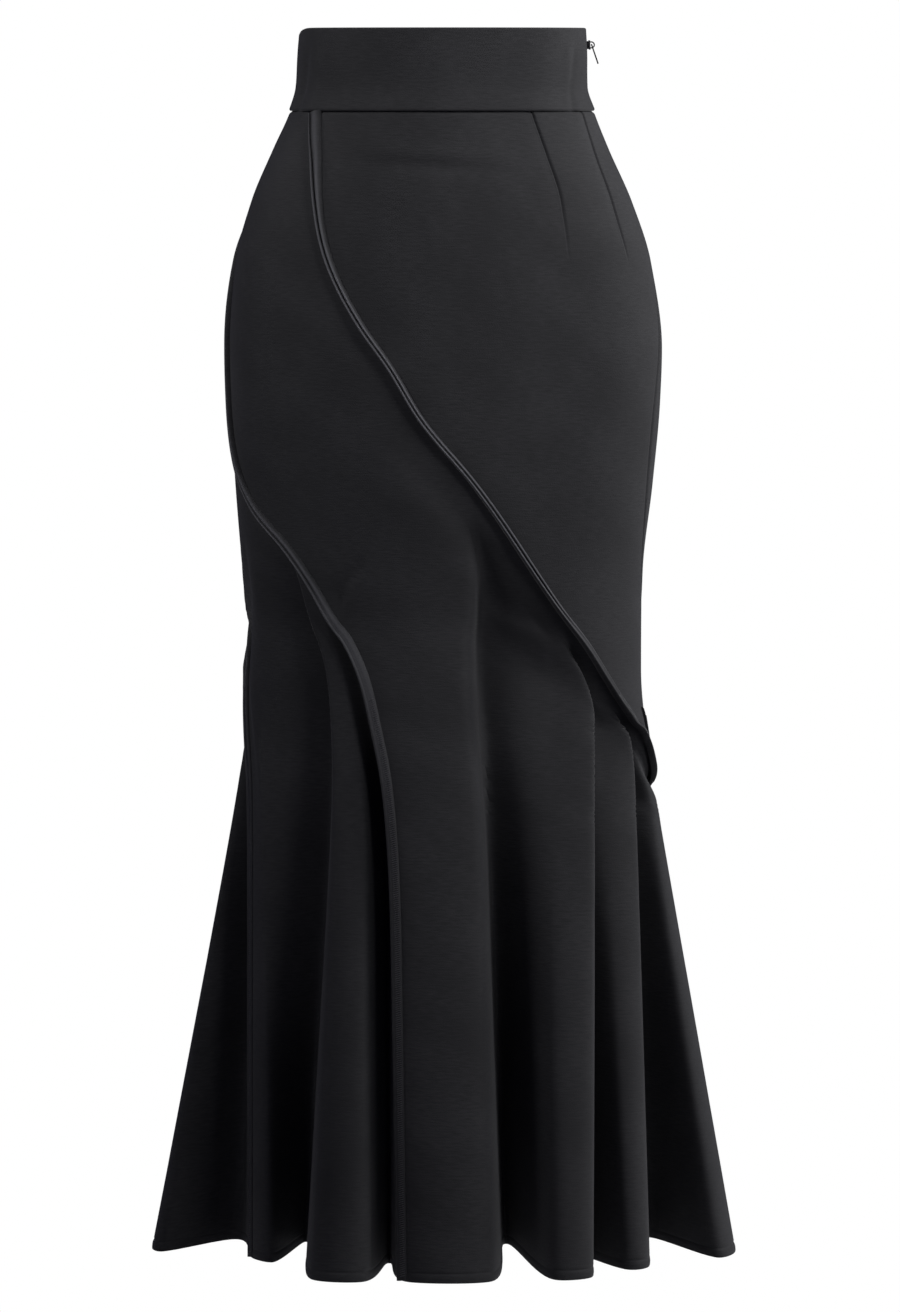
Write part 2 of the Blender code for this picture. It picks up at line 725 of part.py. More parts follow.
def make_slider(metal):
    """The slider: a small bridge over the slit with a bail that holds the pull tab."""
    place, out = slider_place()
    turned = Matrix.Rotation(-math.asin(out[2]), 4, "Y")
    bridge = box(
        "zip_slider",
        Vector((SLIDER_DEPTH, SLIDER_WIDTH, SLIDER_LENGTH)) * MM,
        Vector((SLIDER_DEPTH / 2 + LAY_GAP, 0, 0)) * MM,
    )
    neck = box(
        "slider_neck",
        Vector((BAND_CLOTH, ZIP_SLIT - 2 * SEAM_GAP, SLIDER_LENGTH - 1)) * MM,
        Vector((-BAND_CLOTH / 2 + LAY_GAP + 0.4, 0, 0)) * MM,
    )
    start = LAY_GAP + SLIDER_DEPTH - 0.4
    arc = [math.radians(a) for a in range(-90, 91, 15)]
    loop = [(bail_out() - 0.2 + BAIL_RADIUS * math.cos(a), 0, BAIL_RADIUS * math.sin(a)) for a in arc]
    path = [(start, 0, -BAIL_RADIUS), *loop, (start, 0, BAIL_RADIUS)]
    bail = tube("slider_bail", path, BAIL_WIRE)
    joined(bridge, [neck, bail], "UNION")
    for obj in (bridge, neck, bail):
        obj.matrix_world = Matrix.Translation(Vector(place) * MM) @ turned
    return link(bridge, metal)


def bail_out():
    """How far the pull tab's bar is from the waistband's outer face."""
    return LAY_GAP + SLIDER_DEPTH + TAB_BAR + 0.35


def make_pull_tab(metal):
    """The pull tab: a teardrop plate with a slot at its top end, hung from the slider's bail."""
    place, out = slider_place()
    curve = bpy.data.curves.new("zip_pull_tab", "CURVE")
    curve.dimensions, curve.fill_mode = "2D", "BOTH"
    curve.extrude = TAB_CLOTH / 2 * MM
    neck, wide, foot = TAB_NECK / 2, TAB_WIDTH / 2, TAB_LENGTH - TAB_WIDTH / 2
    round_foot = [
        (wide * math.cos(math.radians(a)), -foot - wide * math.sin(math.radians(a)))
        for a in range(0, 181, 30)
    ]
    below_slot = TAB_SLOT + TAB_RIM
    top = [(neck, TAB_BAR), (neck, -below_slot)], [(-neck, -below_slot), (-neck, TAB_BAR)]
    half_slot = neck - TAB_RIM
    corners = (-1, -TAB_BAR), (1, -TAB_BAR), (1, -TAB_SLOT), (-1, -TAB_SLOT)
    add_line(curve, [*top[0], *round_foot, *top[1]], closed=True)
    add_line(curve, [(side * half_slot, y) for side, y in corners], closed=True)
    tab = solid_of(curve)
    flat_to_hanging = Matrix(((0, 0, 1, 0), (1, 0, 0, 0), (0, 1, 0, 0), (0, 0, 0, 1)))
    swung = Matrix.Rotation(-math.radians(TAB_REST_ANGLE), 4, "Y")
    hinge = Vector(place + out * bail_out()) * MM
    tab.matrix_world = Matrix.Translation(hinge) @ swung @ flat_to_hanging
    print("pull tab hinge, metres:", [round(v, 6) for v in hinge])
    return link(tab, metal)


# ---- The whole skirt ----


def surface(name, colour, roughness, metallic=0.0):
    """A plain material of that colour."""
    material = bpy.data.materials.new(name)
    material.use_nodes = True
    shader = material.node_tree.nodes["Principled BSDF"]
    shader.inputs["Base Color"].default_value = (*colour, 1.0)
    shader.inputs["Roughness"].default_value = roughness
    shader.inputs["Metallic"].default_value = metallic
    return material


def main():
    """Clears the scene and builds the skirt."""
    for obj in list(bpy.data.objects):
        bpy.data.objects.remove(obj)
    for name in ("mermaid_skirt", "cutters"):
        bpy.context.scene.collection.children.link(bpy.data.collections.new(name))
    cloth = surface("black_scuba_crepe", (0.021, 0.021, 0.023), 0.75)
    tape = surface("black_zip_tape", (0.012, 0.012, 0.013), 0.8)
    metal = surface("black_enamelled_zinc", (0.012, 0.012, 0.013), 0.35, 0.6)
    make_waistband(cloth)
    make_panels(cloth)
    for seam in RIDGES:
        make_raised_seam(seam, cloth)
    make_zip_tape(tape)
    make_slider(metal)
    make_pull_tab(metal)


main()
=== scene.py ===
"""Dresses the mermaid fishtail skirt: crepe panels, rolled seams, darts, stitching and a side zip.

The cloth is one surface, worked out from an angle round the body, in degrees, and a drop below the
top edge. The front faces -Y and +X is the wearer's left. Lengths are in millimetres until a mesh is
written, in metres.
"""

import logging
import math
from collections.abc import Sequence
from dataclasses import dataclass, field
from enum import Enum
from typing import NamedTuple

import bpy
import numpy as np
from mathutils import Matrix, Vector

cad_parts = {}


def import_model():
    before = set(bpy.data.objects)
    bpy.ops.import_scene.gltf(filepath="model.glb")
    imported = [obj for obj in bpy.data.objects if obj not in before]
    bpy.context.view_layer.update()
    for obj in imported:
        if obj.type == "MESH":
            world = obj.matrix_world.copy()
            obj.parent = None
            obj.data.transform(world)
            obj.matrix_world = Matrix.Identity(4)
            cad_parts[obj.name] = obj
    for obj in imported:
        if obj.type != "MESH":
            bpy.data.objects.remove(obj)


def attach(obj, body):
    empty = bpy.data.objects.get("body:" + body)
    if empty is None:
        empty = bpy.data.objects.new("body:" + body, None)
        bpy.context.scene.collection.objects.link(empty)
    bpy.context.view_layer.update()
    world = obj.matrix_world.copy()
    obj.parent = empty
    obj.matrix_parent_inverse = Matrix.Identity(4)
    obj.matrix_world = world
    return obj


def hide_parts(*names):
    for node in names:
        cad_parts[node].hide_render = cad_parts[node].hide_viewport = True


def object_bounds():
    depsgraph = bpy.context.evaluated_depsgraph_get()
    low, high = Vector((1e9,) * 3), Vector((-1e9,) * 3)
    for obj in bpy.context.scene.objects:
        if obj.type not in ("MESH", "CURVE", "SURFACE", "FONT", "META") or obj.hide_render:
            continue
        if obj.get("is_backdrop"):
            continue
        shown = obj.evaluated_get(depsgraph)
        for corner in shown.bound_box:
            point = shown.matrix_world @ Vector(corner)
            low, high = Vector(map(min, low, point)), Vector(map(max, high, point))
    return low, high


log = logging.getLogger("mermaid_skirt")

Array = np.ndarray
Socket = bpy.types.NodeSocket

MM = 0.001
FULL_TURN = 360.0


# ---- Curves and vectors ----


def hermite(at: Array, knots: Array, values: Array, slopes: Array) -> Array:
    """Works out a cubic that has the values and slopes at the knots.

    In each span it is the two values blended by 3t^2 - 2t^3, plus the slope at the start times
    t(1 - t)^2 and the slope at the end times t^2(t - 1).

    Args:
        at: Where to work it out.
        knots: The places of the values, in order.
        values: The values at the knots.
        slopes: The slopes at the knots.

    Returns:
        The curve's value at each place.
    """
    at = np.clip(at, knots[0], knots[-1])
    i = np.clip(np.searchsorted(knots, at, side="right") - 1, 0, len(knots) - 2)
    span = knots[i + 1] - knots[i]
    t = (at - knots[i]) / span
    blend = smooth_step(t)
    start = t * (1 - t) ** 2 * span
    end = t * t * (t - 1) * span
    return values[i] * (1 - blend) + values[i + 1] * blend + slopes[i] * start + slopes[i + 1] * end


def even_slopes(knots: Array, values: Array) -> Array:
    """Returns at each knot the slope from the knot before to the one after."""
    slopes = np.gradient(values, knots, edge_order=1)
    slopes[1:-1] = (values[2:] - values[:-2]) / (knots[2:] - knots[:-2])
    return slopes


def glide(at: Array, knots: Sequence[float], values: Sequence[float]) -> Array:
    """Works out a smooth curve through the values that never overshoots them.

    The slope at a knot is the harmonic mean of the steps on its two sides, or none at a turn.

    Args:
        at: Where to work it out.
        knots: The places of the values, in order.
        values: The values at the knots.

    Returns:
        The curve's value at each place.
    """
    knots, values = np.asarray(knots, float), np.asarray(values, float)
    step = np.diff(values) / np.diff(knots)
    before, after = np.concatenate([step[:1], step]), np.concatenate([step, step[-1:]])
    same_way = before * after > 0
    total = np.where(same_way, before + after, 1.0)
    slopes = np.where(same_way, 2 * before * after / total, 0.0)
    return hermite(np.asarray(at, float), knots, values, slopes)


def along(rows: Sequence[tuple], drop: Array) -> list[Array]:
    """Returns the columns of a table whose first is the drop, each glided over the drops."""
    knots, *columns = zip(*rows)
    return [glide(drop, knots, column) for column in columns]


def smooth_step(share: Array) -> Array:
    """Returns 3s^2 - 2s^3 of the share, held between 0 and 1."""
    share = np.clip(share, 0, 1)
    return share * share * (3 - 2 * share)


def bump(away: Array, width: float) -> Array:
    """Returns a bell, exp(-(away / width)^2)."""
    return np.exp(-((away / width) ** 2))


def unit(vectors: Array) -> Array:
    """Returns the vectors at length 1."""
    return vectors / np.linalg.norm(vectors, axis=-1, keepdims=True)


def turned(angle: Array) -> Array:
    """Returns the angle brought to between a half turn back and a half turn on."""
    return np.mod(angle + FULL_TURN / 2, FULL_TURN) - FULL_TURN / 2


def facing(points: Array) -> Array:
    """Returns a grid's outward normals: its way down crossed with its way round to +X."""
    return unit(np.cross(np.gradient(points, axis=0), np.gradient(points, axis=1)))


# ---- The form of the skirt ----


class Section(NamedTuple):
    """How far the body of the skirt reaches to the wearer's left and right, forward and back."""

    drop: float
    left: float
    right: float
    front: float
    back: float


@dataclass(frozen=True)
class Fold:
    """A fold of the fishtail: a crest, and the hollow that follows it to the wearer's left.

    The knee angles say which lines of the cloth turn into the crest's two shoulders and the hollow.
    The hem angles and reaches place them on the hem's oval, of which 1 is the full size. Opens is
    the drop where the fold starts, lift how far the hollow's hem rises, deep the hollow's share of
    the usual depth, and lean how far the crest's first shoulder lies back in it.
    """

    knee_from: float
    knee_to: float
    knee_hollow: float
    hem_from: float
    hem_to: float
    reach: float
    hem_hollow: float
    hollow_reach: float
    opens: float
    lift: float
    deep: float = 1.0
    lean: float = 0.4

    def marks(self) -> tuple[tuple[float, ...], ...]:
        """Returns the knee angle, hem angle, reach, opening, lift and hollow of its three lines."""
        reach, opens = self.reach, self.opens
        return (
            (self.knee_from, self.hem_from, reach, opens, 0.0, self.lean),
            (self.knee_to, self.hem_to, reach, opens, 0.0, 0.0),
            (self.knee_hollow, self.hem_hollow, self.hollow_reach, opens, self.lift, self.deep),
        )


class Seam(Enum):
    """The long seams of the skirt."""

    WRAP = "wrap"
    FRONT = "front"
    LEFT = "left"
    SIDE = "side"


class Lead(NamedTuple):
    """A seam whose curve the folds follow: how far at most, and how wide below and above it.

    All three are in degrees.
    """

    seam: Seam
    limit: float
    below: float
    above: float


class Trough(NamedTuple):
    """A dip in the cloth along a seam's lower side: its depth, and how far off it is deepest."""

    drop: float
    depth: float
    away: float


SECTIONS = (
    Section(0, 106.2, 106.2, 87, 89), Section(25, 107.6, 108.2, 89, 91),
    Section(44, 107.8, 109.2, 90, 93), Section(62, 113.2, 114.0, 93, 97),
    Section(90, 124.3, 126.6, 98, 106), Section(130, 142.0, 143.4, 104, 116),
    Section(175, 156.2, 155.0, 108, 123), Section(240, 164.6, 159.6, 111, 127),
    Section(280, 163.2, 159.0, 112, 125), Section(340, 157.8, 155.6, 112, 120),
    Section(410, 150.2, 150.2, 111, 115), Section(470, 149.2, 146.4, 111, 113),
    Section(917, 150.5, 146.8, 112, 114),
)

FOLDS = (
    Fold(-13.5, 8, 15.5, -7.0, 9.5, 1.0, 27, 0.47, 425, 13, 2.1, 0.0),  # centre
    Fold(38, 49, 55, 21.5, 30, 1.0, 47, 0.64, 470, 4, 1.6, 1.3),  # right front
    Fold(62, 74, 80, 43.5, 50.5, 0.90, 84, 0.70, 515, 9, 1.2, 1.0),  # right
    Fold(87, 97, 105, 71.5, 88, 0.985, 100, 0.74, 480, 6),  # right edge
    Fold(113, 127, 135, 115, 133, 0.97, 141, 0.60, 540, 10),  # right back
    Fold(145, 156, 165, 150, 163, 0.96, 169, 0.55, 500, 10),  # back right
    Fold(175, 188, 197, 175, 191, 0.98, 199, 0.58, 470, 10),  # back
    Fold(207, 219, 228, 207, 221, 0.95, 227, 0.60, 480, 10),  # back left
    Fold(239, 250, 257, 236, 249, 0.97, 255, 0.73, 500, 6),  # left back
    Fold(264, 272, 279, 265, 278, 0.968, 271, 0.70, 500, 6),  # left edge
    Fold(284, 291, 322, 297.6, 308, 0.725, 298, 0.52, 440, 10, 1.5),  # left
    Fold(329.5, 337, 342.5, 334.5, 345.5, 1.02, 342, 0.58, 470, 2, 1.0, 0.0),  # left front
)

# Each seam's path, as pairs of the drop and the angle round the skirt.
SEAM_PATHS = {
    Seam.WRAP: (
        (62, -55.5), (95, -46.2), (119, -41.5), (147, -37.1), (186, -30.1), (220, -22.2),
        (251, -14), (289, -5.7), (335, 8), (398, 25.6), (430, 35.3), (458, 45.7), (484, 55.1),
        (501, 62.6), (514, 70.5), (526, 78.2), (536, 82.6), (547, 85.9), (558, 88.8), (569, 93.5),
        (580, 99.5), (592, 105), (606, 109.5), (632, 112.6), (917, 113),
    ),
    Seam.FRONT: (
        (62, -126), (125, -111), (172, -100), (221, -91), (277, -85.5), (302, -82.5), (326, -77.1),
        (357, -64.5), (385, -49.4), (412, -39.9), (436, -33.5), (454, -27.9), (483, -22.8),
        (517, -19.5), (551, -16.6), (584, -15), (626, -13.9), (680, -13.4), (917, -13.4),
    ),
    Seam.LEFT: (
        (62, -198), (159, -184), (250, -166), (330, -145), (400, -121), (460, -102), (520, -86),
        (568, -77.5), (620, -76), (917, -76),
    ),
    Seam.SIDE: (
        (62, 90), (150, 88), (243, 79.8), (303, 75.5), (343, 76.5), (384, 80.7), (420, 86),
        (470, 91), (557, 92),
    ),
}

LEADS = (Lead(Seam.FRONT, 16, 15, 26), Lead(Seam.LEFT, 16, 26, 26), Lead(Seam.WRAP, 10, 9, 12))

PLAIN_TROUGHS = (Trough(250, 0, 9), Trough(430, 3, 9), Trough(917, 3, 9))
TROUGHS = {
    Seam.WRAP: (
        Trough(170, 0, 10), Trough(212, 1, 10), Trough(240, 3, 13), Trough(330, 3.5, 13),
        Trough(368, 5, 12), Trough(398, 9, 13), Trough(425, 9.5, 17), Trough(452, 8, 10),
        Trough(480, 7, 8), Trough(560, 7, 8), Trough(600, 3.5, 8), Trough(917, 3.5, 10),
    ),
    Seam.FRONT: PLAIN_TROUGHS,
    Seam.LEFT: PLAIN_TROUGHS,
}


@dataclass(frozen=True)
class SkirtForm:
    """The outer face of the cloth, from the waist's top edge to the folded hem."""

    band_height: float = 62.0
    hem_drop: float = 917.0
    hem_width: float = 221.0
    hem_depth: float = 204.0
    flare_ease: float = 0.08
    seam_gap: float = 0.4
    tip_drop: float = 565.5
    hollow_depth: float = 12.0
    hollow_above: float = 70.0
    hollow_below: float = 15.0
    hollow_onset: float = 16.0
    hem: tuple[Array, ...] = field(init=False, repr=False)

    def __post_init__(self) -> None:
        """Works the hem's curve out once."""
        object.__setattr__(self, "hem", self.hem_curve())

    def hem_curve(self, samples: int = 5760) -> tuple[Array, ...]:
        """Works out the hem's closed curve.

        It is a cubic through each fold's two shoulders and hollow, which stand at their reach times
        the hem's oval, against the root of the chord between them.

        Args:
            samples: How many places it is worked out at.

        Returns:
            Columns of the knee angle, x, y, the drop where that line of cloth opens, the hem's lift
            and how far the line is in a hollow, 0 to 1.
        """
        marks = np.array([mark for fold in FOLDS for mark in fold.marks()])
        knee, around, reach = marks[:, 0], np.radians(marks[:, 1]), marks[:, 2]
        x = self.hem_width * reach * np.sin(around)
        y = -self.hem_depth * reach * np.cos(around)
        thrice = [np.tile(column, 3) for column in (x, y, *marks[:, 3:].T)]
        knee = np.concatenate([knee - FULL_TURN, knee, knee + FULL_TURN])
        chord = np.hypot(np.diff(thrice[0]), np.diff(thrice[1]))
        knots = np.concatenate([[0.0], np.cumsum(np.sqrt(chord))])
        third, spare = len(marks), 6
        at = np.linspace(knots[third - spare], knots[2 * third + spare], samples)
        curve = [hermite(at, knots, column, even_slopes(knots, column)) for column in thrice[:2]]
        return glide(at, knots, knee), *curve, *(glide(at, knots, column) for column in thrice[2:])

    def seam_angle(self, seam: Seam, drop: Array) -> Array:
        """Returns the seam's angle at each drop."""
        return along(SEAM_PATHS[seam], drop)[0]

    def knee_line(self, angle: Array, drop: Array) -> Array:
        """Finds which line of cloth passes through each place.

        A line runs straight down, but beside a leading seam it bends with the seam, by the seam's
        own shift times a bell of the distance from it.

        Args:
            angle: Angles round the skirt.
            drop: Drops below the top edge.

        Returns:
            The knee angle of each place's line.
        """
        line = np.array(angle, float)
        for lead in LEADS:
            here = self.seam_angle(lead.seam, drop)
            at_hem = SEAM_PATHS[lead.seam][-1][1]
            shift = np.clip(at_hem - here, -lead.limit, lead.limit)
            away = turned(angle - here)
            line = line + shift * bump(away, np.where(away < 0, lead.below, lead.above))
        return line

    def hem_values(self, angle: Array, drop: Array) -> list[Array]:
        """Returns the hem's x, y, opening drop, lift and hollow share for each place's line."""
        start = FOLDS[0].knee_from
        line = np.mod(self.knee_line(angle, drop) - start, FULL_TURN) + start
        return [np.interp(line, self.hem[0], column) for column in self.hem[1:]]

    def from_seam(self, seam: Seam, angle: Array, drop: Array, radius: Array) -> Array:
        """Returns how far below a seam each place is, in millimetres round the skirt."""
        return np.radians(turned(self.seam_angle(seam, drop) - angle)) * radius

    def relief(
        self, angle: Array, drop: Array, radius: Array, opens: Array, hollow: Array
    ) -> Array:
        """Works out how far the body's surface is drawn in.

        A trough beside a seam is x times e^((1 - x^2) / 2), where x is the distance from the seam
        over the trough's own. Hollows grow round the drop where a fold opens and fade out towards a
        seam.

        Args:
            angle: Angles round the skirt.
            drop: Drops below the top edge.
            radius: The body's radius at each place.
            opens: Where each place's line of cloth opens.
            hollow: How far each place's line is in a hollow.

        Returns:
            The distance inwards, in millimetres.
        """
        inward = np.zeros_like(radius)
        grows = (drop - opens + self.hollow_above) / (self.hollow_above + self.hollow_below)
        onset = smooth_step(grows)
        for seam, troughs in TROUGHS.items():
            away = self.from_seam(seam, angle, drop, radius)
            depth, deepest = along(troughs, drop)
            share = np.clip(away, 0, None) / deepest
            inward += depth * share * np.exp((1 - share**2) / 2)
            onset = onset * smooth_step(np.abs(away) / self.hollow_onset)
        in_wrap = (angle > self.seam_angle(Seam.WRAP, drop)) & (drop < self.tip_drop)
        in_wrap &= angle < self.seam_angle(Seam.SIDE, drop)
        return inward + np.where(in_wrap, 0, self.hollow_depth * onset * hollow)

    def place(
        self, angle: Array, drop: Array, inwards: Array | float = 0.0, dips: float = 1.0
    ) -> Array:
        """Places points of the outer face.

        The body's oval section holds down to where a line of cloth opens. From there the point
        moves to the hem's curve in a straight run, eased in like a hyperbola.

        Args:
            angle: Angles round the skirt.
            drop: Drops below the top edge.
            inwards: More distance inwards, in millimetres.
            dips: The share of the troughs and hollows that is kept.

        Returns:
            The points, in millimetres.
        """
        angle, drop = np.broadcast_arrays(np.asarray(angle, float), np.asarray(drop, float))
        turn = np.radians(angle)
        left, right, front, back = along(SECTIONS, drop)
        width = np.where(np.sin(turn) > 0, left, right)
        depth = np.where(np.cos(turn) > 0, front, back)
        radius = np.hypot(width * np.sin(turn), depth * np.cos(turn))
        hem_x, hem_y, opens, lift, hollow = self.hem_values(angle, drop)
        drawn = 1 - (dips * self.relief(angle, drop, radius, opens, hollow) + inwards) / radius
        fall = np.clip((drop - opens) / (self.hem_drop - opens), 0, 1)
        ease = self.flare_ease
        share = (np.hypot(fall, ease) - ease) / (math.hypot(1, ease) - ease)
        x = width * np.sin(turn) * drawn * (1 - share) + hem_x * share
        y = -depth * np.cos(turn) * drawn * (1 - share) + hem_y * share
        z = self.band_height / 2 - drop + lift * share**2
        return np.stack([x, y, z], axis=-1)

    def across_and_down(self, angle: Array, drop: Array, reach: float = 0.3) -> tuple[Array, Array]:
        """Returns how the surface, its dips left out, moves for a degree round and a mm down."""
        left, right = (self.place(angle + side * reach, drop, dips=0) for side in (-1, 1))
        low, high = np.clip(drop + 1.0, None, self.hem_drop), drop - 1.0
        below, above = (self.place(angle, end, dips=0) for end in (low, high))
        return (right - left) / (2 * reach), (below - above) / (low - high)[..., None]

    def degree_mm(self, angle: float, drop: float) -> float:
        """Returns how many millimetres a degree round the skirt is at a place."""
        return float(np.linalg.norm(self.across_and_down(np.array([angle]), np.array([drop]))[0]))


# ---- Meshes ----


def piece(
    name: str, points: Array, faces: list[Array], uv: Array | None = None
) -> bpy.types.Object:
    """Makes a mesh object from points in millimetres.

    Args:
        name: The object's name.
        points: The points.
        faces: Arrays of faces, each with one number of corners.
        uv: Pattern coordinates of each point, in metres of cloth.

    Returns:
        The object, in the scene, at the origin.
    """
    mesh = bpy.data.meshes.new(name)
    corners = [face for block in faces for face in block.tolist()]
    mesh.from_pydata((points * MM).tolist(), [], corners)
    mesh.polygons.foreach_set("use_smooth", np.ones(len(mesh.polygons), bool))
    if uv is not None:
        corner = np.empty(len(mesh.loops), int)
        mesh.loops.foreach_get("vertex_index", corner)
        mesh.uv_layers.new(name="cloth").data.foreach_set("uv", uv[corner].ravel())
    mesh.set_sharp_from_angle(angle=math.radians(55))
    mesh.update()
    made = bpy.data.objects.new(name, mesh)
    bpy.context.scene.collection.objects.link(made)
    return made


def quads(corner: Array) -> Array:
    """Returns the faces of one or more grids of point numbers, which face the outward side."""
    top, low = corner[..., :-1, :], corner[..., 1:, :]
    around = [top[..., :-1], low[..., :-1], low[..., 1:], top[..., 1:]]
    return np.stack(around, -1).reshape(-1, 4)


def round_border(corner: Array) -> Array:
    """Returns a grid's border: down its first column, along its foot, up its last and back."""
    return np.concatenate([corner[:-1, 0], corner[-1, :-1], corner[:0:-1, -1], corner[0, :0:-1]])


def slab_faces(rows: int, columns: int) -> list[Array]:
    """Returns the faces of a closed slab, the outer grid's points numbered before the inner's."""
    outer = np.arange(rows * columns).reshape(rows, columns)
    inner = outer + rows * columns
    rim, rim_in = round_border(outer), round_border(inner)
    sides = np.stack([np.roll(rim, -1), rim, rim_in, np.roll(rim_in, -1)], -1)
    return [quads(outer), quads(inner)[:, ::-1], sides]


def sheet_piece(node: str, outer: Array, inner: Array) -> bpy.types.Object:
    """Makes a closed sheet of cloth that stands for a CAD node.

    Args:
        node: The CAD node.
        outer: The outer face's grid.
        inner: The inner face's grid.

    Returns:
        The piece, with the cloth's pattern coordinates.
    """
    points = np.concatenate([outer.reshape(-1, 3), inner.reshape(-1, 3)])
    uv = np.tile(cloth_uv(outer).reshape(-1, 2), (2, 1))
    made = piece("cloth_" + node, points, slab_faces(*outer.shape[:2]), uv)
    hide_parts(node)
    return made


def cloth_uv(points: Array) -> Array:
    """Returns pattern coordinates in metres: along each row from its middle, and down the cloth."""
    across = np.linalg.norm(np.diff(points, axis=1, prepend=points[:, :1]), axis=-1).cumsum(axis=1)
    down = np.linalg.norm(np.diff(points, axis=0, prepend=points[:1]), axis=-1)
    down = np.broadcast_to(down.mean(axis=1).cumsum()[:, None], across.shape)
    return np.stack([across - across[:, -1:] / 2, -down], -1) * MM


def turned_edge(points: Array, wall: float, steps: int = 4) -> tuple[Array, Array]:
    """Rounds the foot of a sheet over half a circle as thick as the wall.

    The added rows are the circle's centre, half a wall in, plus its radius times the outward normal
    by the cosine and the way down by the sine.

    Args:
        points: The outer face's grid.
        wall: The wall's thickness.
        steps: How many rows are added.

    Returns:
        The outer and inner grids with the rounded foot.
    """
    out = facing(points)
    down = unit(points[-1] - points[-2])
    turn = np.radians(np.linspace(0, 84, steps + 1)[1:])[:, None, None]
    middle = points[-1] - out[-1] * wall / 2
    foot = middle + down * wall / 2 * np.sin(turn)
    swing = out[-1] * wall / 2 * np.cos(turn)
    inner = np.concatenate([points - out * wall, foot - swing])
    return np.concatenate([points, foot + swing]), inner


# ---- Finishes ----


def linear(code: str) -> tuple[float, float, float, float]:
    """Turns an sRGB hex colour into linear red, green, blue and alpha."""
    share = np.array([int(code[i : i + 2], 16) for i in (1, 3, 5)]) / 255
    value = np.where(share <= 0.04045, share / 12.92, ((share + 0.055) / 1.055) ** 2.4)
    return (*value.tolist(), 1.0)


def add_node(
    tree: bpy.types.NodeTree, kind: str, inputs: dict | None = None, **settings: str
) -> bpy.types.Node:
    """Adds a node with its settings and links.

    Args:
        tree: The material's node tree.
        kind: The node's type, without the words ShaderNode.
        inputs: By input name or number, a value or a socket to link from.
        settings: The node's own properties.

    Returns:
        The node.
    """
    node = tree.nodes.new("ShaderNode" + kind)
    for name, value in settings.items():
        setattr(node, name, value)
    for key, value in (inputs or {}).items():
        if isinstance(value, Socket):
            tree.links.new(value, node.inputs[key])
        else:
            node.inputs[key].default_value = value
    return node


def new_material(name: str) -> tuple[bpy.types.Material, bpy.types.NodeTree, bpy.types.Node]:
    """Makes a material and returns it with its node tree and its Principled shader."""
    material = bpy.data.materials.new(name)
    material.use_nodes = True
    tree = material.node_tree
    return material, tree, tree.nodes["Principled BSDF"]


@dataclass(frozen=True)
class ScubaCrepe:
    """Heavy stretch crepe, knitted double and pressed.

    Its crinkled yarns scatter light evenly, so it looks matte and deep, with a soft sheen at
    grazing angles and a fine crosswise grain.
    """

    name: str = "scuba_crepe"
    colour: str = "#232325"
    worn_colour: str = "#2e2e30"
    # A light grey painted on the raised seams' crests as a highlight, where light catches them.
    painted_highlight_colour: str = "#6a6a6e"
    roughness: float = 0.78
    specular: float = 0.22
    sheen: float = 0.10
    sheen_roughness: float = 0.45
    # The yarns lie 0.5 mm apart. The grain is drawn at 1.4 mm, so that it shows from a way off.
    grain_mm: float = 1.4
    grain_length_mm: float = 9.0
    grain_height_mm: float = 0.15
    crinkle_mm: float = 0.9
    crinkle_share: float = 0.8
    # The pressed cloth's shade drifts over a hand's width.
    shade_mm: float = 70.0

    def make(self) -> bpy.types.Material:
        """Builds the material."""
        material, tree, shader = new_material(self.name)
        place = add_node(tree, "UVMap", uv_map="cloth").outputs[0]
        per_metre = 1 / MM
        stretch = (per_metre / self.grain_length_mm, per_metre / self.grain_mm, 1.0)
        run = add_node(tree, "Mapping", {"Vector": place, "Scale": stretch}).outputs[0]
        grain, fine, shade = (
            add_node(tree, "TexNoise", noise).outputs[0]
            for noise in (
                {"Vector": run, "Scale": 1.0, "Detail": 3.0, "Roughness": 0.62},
                {"Vector": place, "Scale": per_metre / self.crinkle_mm, "Detail": 1.0},
                {"Vector": place, "Scale": per_metre / self.shade_mm, "Detail": 4.0},
            )
        )
        mixed = add_node(tree, "Math", {0: grain, 1: shade}, operation="MULTIPLY").outputs[0]
        ends = {"Value": mixed, "From Min": 0.16, "From Max": 0.38}
        colour = add_node(tree, "MapRange", ends).outputs[0]
        # Painted highlight: the colour is paled towards the light grey along the raised seams'
        # crests, by a value that only those pieces carry.
        rubbed = add_node(tree, "Attribute", attribute_name="rubbed").outputs["Fac"]
        shades = {0: colour, 1: linear(self.colour), 2: linear(self.worn_colour)}
        colour = add_node(tree, "MixRGB", shades).outputs[0]
        shades = {0: rubbed, 1: colour, 2: linear(self.painted_highlight_colour)}
        colour = add_node(tree, "MixRGB", shades).outputs[0]
        bumps = {0: fine, 1: self.crinkle_share, 2: grain}
        height = add_node(tree, "Math", bumps, operation="MULTIPLY_ADD").outputs[0]
        raised = {"Height": height, "Distance": self.grain_height_mm * MM, "Strength": 1.0}
        tree.links.new(colour, shader.inputs["Base Color"])
        tree.links.new(add_node(tree, "Bump", raised).outputs[0], shader.inputs["Normal"])
        shader.inputs["Roughness"].default_value = self.roughness
        shader.inputs["Specular IOR Level"].default_value = self.specular
        shader.inputs["Sheen Weight"].default_value = self.sheen
        shader.inputs["Sheen Roughness"].default_value = self.sheen_roughness
        return material


